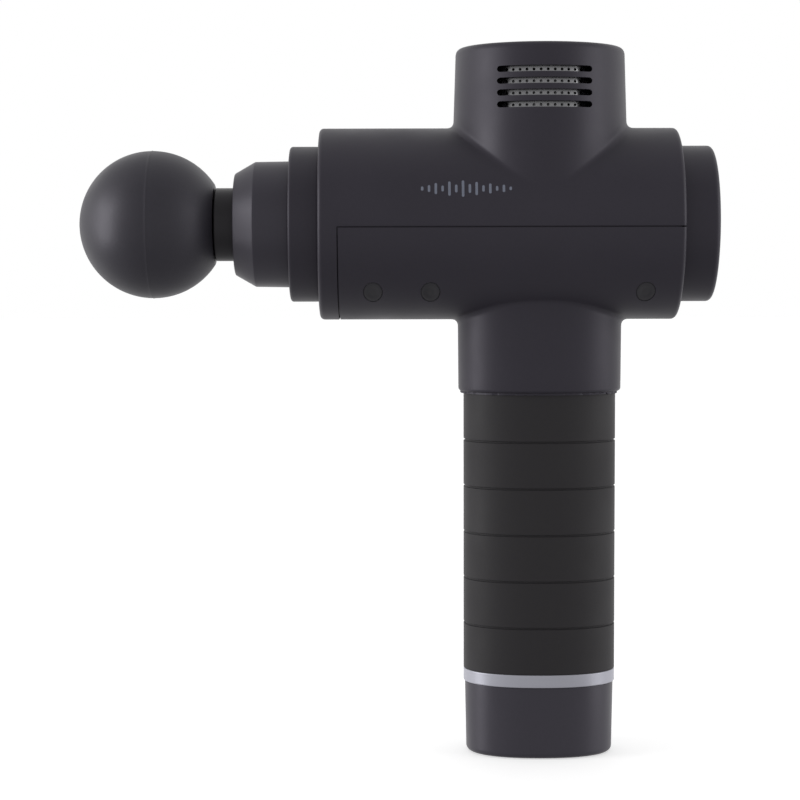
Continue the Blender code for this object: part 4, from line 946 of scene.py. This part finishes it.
        wall = screen.modifiers.new("wall", "SOLIDIFY")
        wall.thickness = self.screen_wall
        wall.offset = -1.0
        Piece("vent_screen", SCREEN, "body", "silver_trim", ("vent_screen",)).add(baked(screen))

    def on_screen(self, place: Vector, radius: float, height: float) -> Vector:
        """Wrap a point of (angle, rise) round the sleeve."""
        return Vector((radius * cos(place.x), radius * sin(place.x), height + place.y))

    def build(self) -> None:
        """Build every piece of the shells."""
        self.upper_shell()
        self.lower_shell()
        self.tower_cap()
        self.vent_screen()
        self.screw_plugs()
        self.mark()


def join_mesh(obj: bpy.types.Object, extra: bmesh.types.BMesh) -> None:
    """Add a closed body to an object's mesh."""
    mesh = bpy.data.meshes.new("extra")
    extra.to_mesh(mesh)
    extra.free()
    bm = bmesh.new()
    bm.from_mesh(obj.data)
    bm.from_mesh(mesh)
    bm.to_mesh(obj.data)
    bm.free()
    bpy.data.meshes.remove(mesh)


# ---- Front stack ----
@dataclass
class FrontStack:
    """The stepped collar, the nose and its seal."""

    layout: Layout
    collar_edge: float = 0.0011
    nose_edge: float = 0.0007
    nose_front_radius: float = 0.0186
    nose_chamfer: float = 0.0075

    def collar(self) -> None:
        """Build the ring between the body and the nose."""
        low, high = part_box("front_collar")
        rear = self.layout.body_front - 0.00005
        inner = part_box("piston_guide")[1].y + 0.0003
        bore = 0.0257
        corners = [(low.x, 0.0213, 0.0003), (low.x, high.y, self.collar_edge), (rear, high.y, 0.0004),
                   (rear, bore, 0.0), (high.x, bore, 0.0004), (high.x, inner, 0.0),
                   (low.x + 0.007, inner, 0.0),
                   (low.x + 0.007, 0.0213, 0.0)]
        bm = self.layout.along_x(rounded(corners, closed=True), closed=True)
        Piece("front_collar", SHELL, "body", "shell_plastic", ("front_collar",)).make(bm)

    def nose(self) -> None:
        """Build the nose with its chamfered front."""
        low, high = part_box("nose_cone")
        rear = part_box("front_collar")[0].x - 0.00008
        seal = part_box("nose_seal")[1].y + 0.0002
        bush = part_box("front_bush")[1].y + 0.0003
        shoulder = low.x + self.nose_chamfer
        spigot = 0.0207
        corners = [(low.x, seal, 0.0003), (low.x, self.nose_front_radius, self.nose_edge),
                   (shoulder, high.y - 0.0002, 0.0008), (rear, high.y, 0.0003), (rear, spigot, 0.0),
                   (high.x, spigot, 0.0), (high.x, bush, 0.0), (low.x + 0.0045, bush, 0.0),
                   (low.x + 0.0045, seal, 0.0)]
        bm = self.layout.along_x(rounded(corners, closed=True), closed=True)
        Piece("nose_cone", SATIN, "body", "shell_plastic", ("nose_cone",)).make(bm)

    def seal(self) -> None:
        """Build the lip seal round the piston tube."""
        low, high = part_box("nose_seal")
        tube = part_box("piston_tube")[1].y + 0.00006
        corners = [(low.x + 0.0010, tube, 0.0003), (low.x, tube + 0.0012, 0.0003),
                   (low.x + 0.0006, high.y, 0.0004),
                   (high.x, high.y, 0.0), (high.x, tube + 0.0008, 0.0)]
        bm = self.layout.along_x(rounded(corners, closed=True, steps=4), closed=True)
        Piece("nose_seal", SEAL, "body", "seal_rubber", ("nose_seal",)).make(bm)

    def build(self) -> None:
        """Build every piece of the front stack."""
        self.collar()
        self.nose()
        self.seal()


@dataclass
class Piston:
    """The piston tube with the ring that holds the head's stem."""

    layout: Layout

    def build(self) -> None:
        """Build the tube and the retaining ring."""
        low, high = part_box("piston_tube")
        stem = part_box("head_stem")[1].y
        bore = stem + 0.0003
        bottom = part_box("head_stem")[1].x + 0.001
        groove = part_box("socket_ring")
        deep = groove[1].y + 0.0002
        front, rear = groove[0].x - 0.0002, groove[1].x + 0.0002
        radius = high.y
        corners = [(bottom, 0.0, 0.0), (bottom, bore, 0.0006), (rear, bore, 0.0), (rear, deep, 0.0),
                   (front, deep, 0.0),
                   (front, bore, 0.0), (low.x, bore, 0.0007), (low.x, radius, 0.0006),
                   (high.x, radius, 0.0005),
                   (high.x, 0.0068, 0.0), (high.x - 0.02, 0.0068, 0.0), (high.x - 0.02, 0.0, 0.0)]
        bm = self.layout.along_x(rounded(corners))
        Piece("piston_tube", ANODISED, "piston", "alloy", ("piston_tube",)).make(bm)
        middle = (groove[0].x + groove[1].x) / 2
        half = (groove[1].x - groove[0].x) / 2
        centre_radius = groove[1].y - half
        section = []
        for step in range(16):
            angle = 2 * pi * step / 16
            section.append((middle + half * cos(angle), centre_radius + half * sin(angle)))
        section = [(along, max(radius, stem + 0.0001)) for along, radius in section]
        ring = self.layout.along_x(section, closed=True)
        Piece("socket_ring", SEAL, "piston", "seal_rubber", ("socket_ring",)).make(ring)


@dataclass
class BallHead:
    """The ball with its parting line, and the stem that plugs into the piston."""

    layout: Layout
    ridge_height: float = 0.00010
    ridge_half_width: float = 0.00022

    def ball(self) -> None:
        """Build the ball as one turned skin with a fine ridge round its middle."""
        low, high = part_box("massage_ball")
        radius = high.y
        centre = low.x + radius
        back = high.x
        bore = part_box("head_stem")[1].y + 0.0002
        stem_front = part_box("head_stem")[0].x
        stop = atan2(sqrt(radius ** 2 - (back - centre) ** 2), back - centre)
        outline: list[Point2] = [(centre - radius, 0.0)]
        steps = 72
        for step in range(1, steps + 1):
            angle = pi + (stop - pi) * step / steps
            outline.append((centre + radius * cos(angle), radius * sin(angle)))
        slope = self.ridge_half_width / radius
        crest = [(1.0, -1.6), (1 + self.ridge_height / radius, -0.6), (1 + self.ridge_height / radius, 0.6),
                 (1.0, 1.6)]
        ridge = [(centre - radius * sin(shift * slope) * 1.0, radius * lift * cos(shift * slope))
                 for lift, shift in reversed(crest)]
        outline = [place for place in outline if abs(place[0] - centre) > self.ridge_half_width * 2.2] + ridge
        outline[1:] = sorted(outline[1:], key=lambda place: place[0])
        rim = outline.pop()
        outline += rounded([(*outline[-1], 0.0), (*rim, 0.0012), (back, bore, 0.0)])[1:-1]
        outline += [(back, bore), (stem_front, bore), (stem_front, 0.0)]
        bm = self.layout.along_x(outline, 160)
        Piece("massage_ball", BALL, "head", "ball_foam", ("massage_ball",)).make(bm)

    def stem(self) -> None:
        """Build the plug-in stem with its snap groove."""
        low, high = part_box("head_stem")
        radius = high.y
        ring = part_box("socket_ring")
        middle = (ring[0].x + ring[1].x) / 2
        corners = [(low.x, 0.0, 0.0), (low.x, radius, 0.0), (middle - 0.0022, radius, 0.0003),
                   (middle - 0.0012, radius - 0.0006, 0.0006), (middle + 0.0012, radius - 0.0006, 0.0006),
                   (middle + 0.0022, radius, 0.0003), (high.x, radius, 0.0014), (high.x, 0.0, 0.0)]
        Piece("head_stem", TRIM, "head", "trim_plastic",
              ("head_stem",)).make(self.layout.along_x(rounded(corners), 96))

    def build(self) -> None:
        """Build the ball and the stem."""
        self.ball()
        self.stem()


@dataclass
class RearCap:
    """The stepped rear cap with its light ring, speed button and level dots."""

    layout: Layout
    edge: float = 0.0018
    button_radius: float = 0.0094
    button_gap: float = 0.0003
    panel_drop: float = 0.0012
    dot_count: int = 5
    dot_pitch: float = 15.0         # degrees
    dot_circle: float = 0.0172
    dot_radius: float = 0.0007

    def cap(self) -> None:
        """Build the cap with its shallow rear recess."""
        low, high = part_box("end_cap")
        front = self.layout.body_rear + 0.00005
        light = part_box("indicator_ring")
        hole = light[1].y + 0.0001
        panel = high.x - self.panel_drop
        back = light[0].x
        spigot, bore = 0.0257, 0.0220
        corners = [(low.x, bore, 0.0), (low.x, spigot, 0.0), (front, spigot, 0.0), (front, high.y, 0.0004),
                   (high.x, high.y, self.edge), (high.x, 0.0238, 0.0005), (panel, 0.0226, 0.0005),
                   (panel, hole, 0.0002), (back, hole, 0.0), (back, bore, 0.0)]
        bm = self.layout.along_x(rounded(corners, closed=True), closed=True)
        Piece("end_cap", SHELL, "body", "shell_plastic", ("end_cap",)).make(bm)

    def light(self) -> None:
        """Build the light ring round the button."""
        low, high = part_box("indicator_ring")
        bore = self.button_radius + self.button_gap
        corners = [(low.x, bore, 0.0), (low.x, high.y, 0.0), (high.x, high.y, 0.0003), (high.x, bore, 0.0003)]
        bm = self.layout.along_x(rounded(corners, closed=True), closed=True)
        Piece("indicator_ring", DIFFUSER, "body", "light_diffuser", ("indicator_ring",)).make(bm)

    def button(self) -> None:
        """Build the dished speed button with its hidden flange."""
        low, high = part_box("speed_button")
        radius, flange = self.button_radius, high.y
        corners = [(low.x, 0.0, 0.0), (low.x, flange, 0.0), (low.x + 0.0015, flange, 0.0),
                   (low.x + 0.0015, radius, 0.0),
                   (high.x, radius, 0.0006), (high.x, radius - 0.0018, 0.0006),
                   (high.x - 0.0005, 0.0045, 0.004),
                   (high.x - 0.0006, 0.0, 0.0)]
        bm = self.layout.along_x(rounded(corners), 96)
        Piece("speed_button", TRIM, "speed_button", "trim_plastic", ("speed_button",)).make(bm)

    def dots(self) -> None:
        """Set the level lights into the panel below the button."""
        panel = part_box("end_cap")[1].x - self.panel_drop
        for index in range(self.dot_count):
            angle = radians(-90 + (index - (self.dot_count - 1) / 2) * self.dot_pitch)
            centre = Vector((panel, self.dot_circle * cos(angle),
                             self.layout.axis_z + self.dot_circle * sin(angle)))
            outline = rounded([(-0.0004, 0.0, 0.0), (-0.0004, self.dot_radius, 0.0),
                               (0.0001, self.dot_radius, 0.0001), (0.0001, 0.0, 0.0)])
            bm = turned(outline, centre, Vector((1, 0, 0)), Vector((0, 0, 1)), 24)
            Piece(f"level_dot_{index + 1}", DIFFUSER, "body", "light_diffuser").make(bm)

    def build(self) -> None:
        """Build every piece of the rear cap."""
        self.cap()
        self.light()
        self.button()
        self.dots()


@dataclass
class Handle:
    """The battery pack: grip, ring, base, inner case, plug, jack and switch."""

    groove_count: int = 5
    groove_pitch: float = 0.0170
    groove_half_width: float = 0.00034
    groove_depth: float = 0.00055
    rocker_x: float = -0.0130
    rocker_rise: float = 0.0045
    rocker_half_x: float = 0.0060
    rocker_room: float = 0.0008
    rocker_tilt: float = radians(7)

    def grip(self) -> None:
        """Build the soft grip with its grooves."""
        low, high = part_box("grip_sleeve")
        wall = 0.0024
        corners: list[Corner] = [(wall, low.z, 0.0), (0.0, low.z, 0.00025)]
        for index in range(self.groove_count):
            middle = low.z + (index + 1) * self.groove_pitch
            corners += [(0.0, middle - self.groove_half_width - 0.0001, 0.00015),
                        (self.groove_depth, middle - self.groove_half_width * 0.6, 0.0001),
                        (self.groove_depth, middle + self.groove_half_width * 0.6, 0.0001),
                        (0.0, middle + self.groove_half_width + 0.0001, 0.00015)]
        corners += [(0.0, high.z, 0.0003), (wall, high.z, 0.0)]
        rings = oval_rings(rounded(corners, closed=True, steps=3), high.x, high.y)
        Piece("grip_sleeve", GRIP, "battery_pack", "grip_rubber",
              ("grip_sleeve",)).make(loft(rings, closed=True))

    def ring(self) -> None:
        """Build the bright ring under the grip."""
        low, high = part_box("status_ring")
        wall, top = 0.0024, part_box("grip_sleeve")[0].z - 0.00008
        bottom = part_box("base_cap")[1].z + 0.00008
        corners = [(wall, bottom, 0.0), (0.0, bottom, 0.00025), (0.0, top, 0.00025), (wall, top, 0.0)]
        rings = oval_rings(rounded(corners, closed=True, steps=3), high.x, high.y)
        Piece("status_ring", SILVER, "battery_pack", "silver_trim",
              ("status_ring",)).make(loft(rings, closed=True))

    def base(self) -> None:
        """Build the base cap with its tapered side and its two openings."""
        low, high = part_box("base_cap")
        taper, edge, floor, wall = 0.0005, 0.0020, 0.0030, 0.0018
        corners = [(wall + taper, floor, 0.0004), (wall, high.z, 0.0), (0.0, high.z, 0.0003),
                   (taper, low.z, edge), (taper + 0.006, low.z, 0.0)]
        rings = oval_rings(rounded(corners, steps=8), high.x, high.y)
        base = to_object("base_cap", loft(rings, capped=True))
        room_x = self.rocker_half_x + self.rocker_room
        room_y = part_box("power_rocker")[1].y + self.rocker_room / 2
        hole = block((self.rocker_x - room_x, -room_y, -0.01),
                     (self.rocker_x + room_x, room_y, floor + 0.002), 0.0006)
        jack_low, jack_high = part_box("charge_jack")
        middle = (jack_low + jack_high) / 2
        outline = [(-0.01, 0.0), (-0.01, 0.0047), (floor + 0.002, 0.0047), (floor + 0.002, 0.0)]
        socket = turned(outline, Vector((middle.x, 0, 0)), Vector((0, 0, 1)), Vector((1, 0, 0)), SMALL_STEPS)
        carved(base, [to_object("rocker_tool", hole), to_object("jack_tool", socket)], "DIFFERENCE")
        Piece("base_cap", SATIN, "battery_pack", "shell_plastic", ("base_cap",)).add(base)

    def jack(self) -> None:
        """Build the charging socket with its centre contact."""
        low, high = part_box("charge_jack")
        middle = (low + high) / 2
        centre, axis, side = Vector((middle.x, 0, 0)), Vector((0, 0, 1)), Vector((1, 0, 0))
        bore, radius, depth = 0.0033, 0.0046, 0.0095
        corners = [(depth, 0.0, 0.0), (depth, bore, 0.0003), (low.z, bore, 0.0003), (low.z, radius, 0.0002),
                   (high.z, radius, 0.0003), (high.z, 0.0, 0.0)]
        bm = turned(rounded(corners, steps=4), centre, axis, side, SMALL_STEPS)
        Piece("charge_jack", TRIM, "battery_pack", "trim_plastic", ("charge_jack",)).make(bm)
        pin = [(depth - 0.0001, 0.0, 0.0), (depth - 0.0001, 0.0009, 0.0), (low.z + 0.0015, 0.0009, 0.0004),
               (low.z + 0.0015, 0.0, 0.0)]
        contact = turned(rounded(pin, steps=4), centre, axis, side, 24)
        Piece("jack_contact", STEEL, "battery_pack", "steel").make(contact)

    def rocker(self) -> None:
        """Build the rocker with its shallow vee, tipped to its off side."""
        tilt, pivot = self.rocker_tilt, Vector((self.rocker_x, 0.0, self.rocker_rise))
        half_x, half_y = self.rocker_half_x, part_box("power_rocker")[1].y
        profile = [(-half_x, -0.0030), (0.0, -0.0022), (half_x, -0.0030), (half_x - 0.0006, 0.0012),
                   (-half_x + 0.0006, 0.0012)]
        bm = bmesh.new()
        verts = [bm.verts.new((pivot.x + x * cos(tilt) - z * sin(tilt), -half_y,
                               pivot.z + x * sin(tilt) + z * cos(tilt))) for x, z in profile]
        face = bm.faces.new(verts)
        grown = bmesh.ops.extrude_face_region(bm, geom=[face])["geom"]
        far = [item for item in grown if isinstance(item, bmesh.types.BMVert)]
        bmesh.ops.translate(bm, verts=far, vec=(0, 2 * half_y, 0))
        bmesh.ops.recalc_face_normals(bm, faces=bm.faces)
        bmesh.ops.bevel(bm, geom=bm.edges[:], offset=0.0004, affect="EDGES", segments=3, profile=0.5,
                        material=-1)
        Piece("power_rocker", TRIM, "power_switch", "trim_plastic", ("power_rocker",)).make(bm)

    def case(self) -> None:
        """Build the pack's inner case and its contact plug."""
        low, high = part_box("battery_case")
        wall = 0.0015
        corners = [(wall, high.z - 0.002, 0.0), (wall, low.z, 0.0003), (0.0, low.z, 0.0003),
                   (0.0, high.z, 0.0020), (0.008, high.z, 0.0)]
        rings = oval_rings(rounded(corners, steps=4), high.x, high.y, 96)
        Piece("battery_case", TRIM, "battery_pack", "trim_plastic",
              ("battery_case",)).make(loft(rings, capped=True))
        plug_low, plug_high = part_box("battery_plug")
        plug = block(plug_low, plug_high, 0.0006)
        Piece("battery_plug", TRIM, "battery_pack", "trim_plastic", ("battery_plug",)).make(plug)
        for index, x in enumerate((-0.0054, -0.0018, 0.0018, 0.0054)):
            blade = block((x - 0.0004, plug_low.y - 0.0001, plug_low.z + 0.002),
                          (x + 0.0004, plug_high.y + 0.0001, plug_high.z - 0.0008), 0.00008, 1)
            Piece(f"plug_blade_{index + 1}", STEEL, "battery_pack", "steel").make(blade)

    def build(self) -> None:
        """Build every piece of the handle."""
        self.grip()
        self.ring()
        self.base()
        self.jack()
        self.rocker()
        self.case()


@dataclass
class ReleaseButton:
    """The battery release in the socket's far side."""

    def build(self) -> None:
        """Build the button with its rounded head and hidden flange."""
        low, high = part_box("release_button")
        centre = (low + high) / 2
        half_x, half_z = (high.x - low.x) / 2, (high.z - low.z) / 2
        profile = rounded([(0.0, low.y, 0.0), (0.0, low.y + 0.0011, 0.0), (0.0010, low.y + 0.0011, 0.0),
                           (0.0010, high.y, 0.0005), (0.0024, high.y, 0.0)], steps=4)
        rings = []
        for inset, y in profile:
            outline = stadium(half_x - inset, half_z - inset, 12, 4)
            rings.append([Vector((centre.x + x, y, centre.z + z)) for x, z in outline])
        Piece("release_button", TRIM, "release_button", "trim_plastic", ("release_button",)).make(
            loft(rings, capped=True))


def dress_frame(nodes: dict[str, bpy.types.Object]) -> None:
    """Give every node of the frame that stays its finish.

    Args:
        nodes: the frame's node objects by name.
    """
    finishes = {
        STEEL: ("motor_can", "stator_core", "top_bearing", "bottom_bearing", "case_screw_", "motor_shaft",
                "rotor_magnet", "crank_", "yoke_pin"),
        COPPER: ("stator_winding",), WRAP: ("cell_",), BOARD: ("main_board", "button_board", "battery_board"),
        ALLOY: ("chassis", "piston_guide", "drive_yoke"), NYLON: ("front_bush", "rear_bush"),
        TRIM: ("power_connector", "cooling_fan"),
    }
    for name, node in nodes.items():
        if node.hide_render:
            continue
        for finish, starts in finishes.items():
            if name.startswith(starts):
                for slot in node.material_slots:
                    slot.material = finish.material()
                log.info("%s dressed as %s", name, finish.name)


# ---- Studio ----
@dataclass
class Studio:
    """The floor, the soft lights and the camera."""

    camera_at: Vector
    camera_pitch: float = radians(3.73)
    camera_roll: float = radians(-0.13)
    overhead: float = 0.65
    underneath: float = 0.45
    focal: float = 96.4
    sensor: float = 36.0

    def floor(self) -> None:
        """Lay a wide pale floor under the base."""
        bm = bmesh.new()
        bmesh.ops.create_grid(bm, x_segments=8, y_segments=8, size=6.0)
        bmesh.ops.translate(bm, verts=bm.verts, vec=(0, 0, -0.0001))
        floor = to_object("floor", bm)
        finish = Finish("pale_floor", (0.80, 0.80, 0.80), 0.80, grain=0.004, depth=0.00002, tone=0.01,
                        emission=0.48)
        floor.data.materials.append(finish.material())
        floor.visible_glossy = False
        floor.visible_diffuse = False

    def world(self) -> None:
        """Surround the object with white, darker behind the camera."""
        world = bpy.data.worlds.new("studio")
        bpy.context.scene.world = world
        world.use_nodes = True
        tree = world.node_tree
        ground = tree.nodes["Background"]
        ground.inputs["Color"].default_value = (1.0, 1.0, 1.0, 1.0)
        place = tree.nodes.new("ShaderNodeTexCoord").outputs["Generated"]
        split = tree.nodes.new("ShaderNodeSeparateXYZ")
        tree.links.new(place, split.inputs["Vector"])
        strength = self.shade(tree, split.outputs["Y"], (-0.85, 0.30), (0.50, 1.0))
        for reach, level in ((1.0, self.overhead), (-1.0, self.underneath)):
            shade = self.shade(tree, split.outputs["Z"], (0.25 * reach, reach), (1.0, level))
            both = tree.nodes.new("ShaderNodeMath")
            both.operation = "MULTIPLY"
            tree.links.new(strength, both.inputs[0])
            tree.links.new(shade, both.inputs[1])
            strength = both.outputs[0]
        tree.links.new(strength, ground.inputs["Strength"])

    def shade(self, tree: bpy.types.NodeTree, value: bpy.types.NodeSocket, reach: tuple[float, float],
              levels: tuple[float, float]) -> bpy.types.NodeSocket:
        """Turn one coordinate of a direction into a smooth change of light.

        Args:
            tree: the world's nodes.
            value: the coordinate.
            reach: where the change starts and ends.
            levels: the light before and after it.

        Returns:
            The light as a socket.
        """
        change = tree.nodes.new("ShaderNodeMapRange")
        change.interpolation_type = "SMOOTHSTEP"
        change.inputs["From Min"].default_value, change.inputs["From Max"].default_value = reach
        change.inputs["To Min"].default_value, change.inputs["To Max"].default_value = levels
        tree.links.new(value, change.inputs["Value"])
        return change.outputs["Result"]

    def light(self, name: str, at: Vector, target: Vector, size: float, power: float) -> None:
        """Hang one soft square light that faces a point."""
        data = bpy.data.lights.new(name, "AREA")
        data.shape = "RECTANGLE"
        data.size = size * 0.5
        data.size_y = size
        data.energy = power
        lamp = bpy.data.objects.new(name, data)
        lamp.location = at
        lamp.rotation_euler = (target - at).to_track_quat("-Z", "Y").to_euler()
        bpy.context.scene.collection.objects.link(lamp)

    def camera(self) -> None:
        """Place the camera."""
        data = bpy.data.cameras.new("camera")
        data.lens = self.focal
        data.sensor_width = self.sensor
        data.clip_end = 50.0
        camera = bpy.data.objects.new("camera", data)
        camera.location = self.camera_at
        tilt = Matrix.Rotation(pi / 2 - self.camera_pitch, 3, "X") @ Matrix.Rotation(self.camera_roll, 3, "Z")
        camera.rotation_euler = tilt.to_euler()
        bpy.context.scene.collection.objects.link(camera)
        bpy.context.scene.camera = camera

    def build(self, middle: Vector) -> None:
        """Build the floor, the lights and the camera round the object's middle."""
        self.floor()
        self.world()
        self.light("left_light", middle + Vector((-1.0, -0.24, 0.10)), middle, 1.0, 6.5)
        self.light("right_light", middle + Vector((1.0, -0.30, 0.10)), middle, 1.0, 3.0)
        self.camera()
        bpy.context.scene.view_settings.view_transform = "Standard"


def main() -> None:
    """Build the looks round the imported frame."""
    logging.basicConfig(level=logging.INFO, format="%(name)s %(message)s")
    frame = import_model()
    layout = Layout.from_frame()
    Studio(Vector((-0.0515, -0.791, 0.18225))).build(Vector((-0.05, 0.0, 0.15)))
    BodyShells(layout).build()
    FrontStack(layout).build()
    Piston(layout).build()
    BallHead(layout).build()
    RearCap(layout).build()
    Handle().build()
    ReleaseButton().build()
    dress_frame(frame["nodes"])


if __name__ == "__main__":
    main()
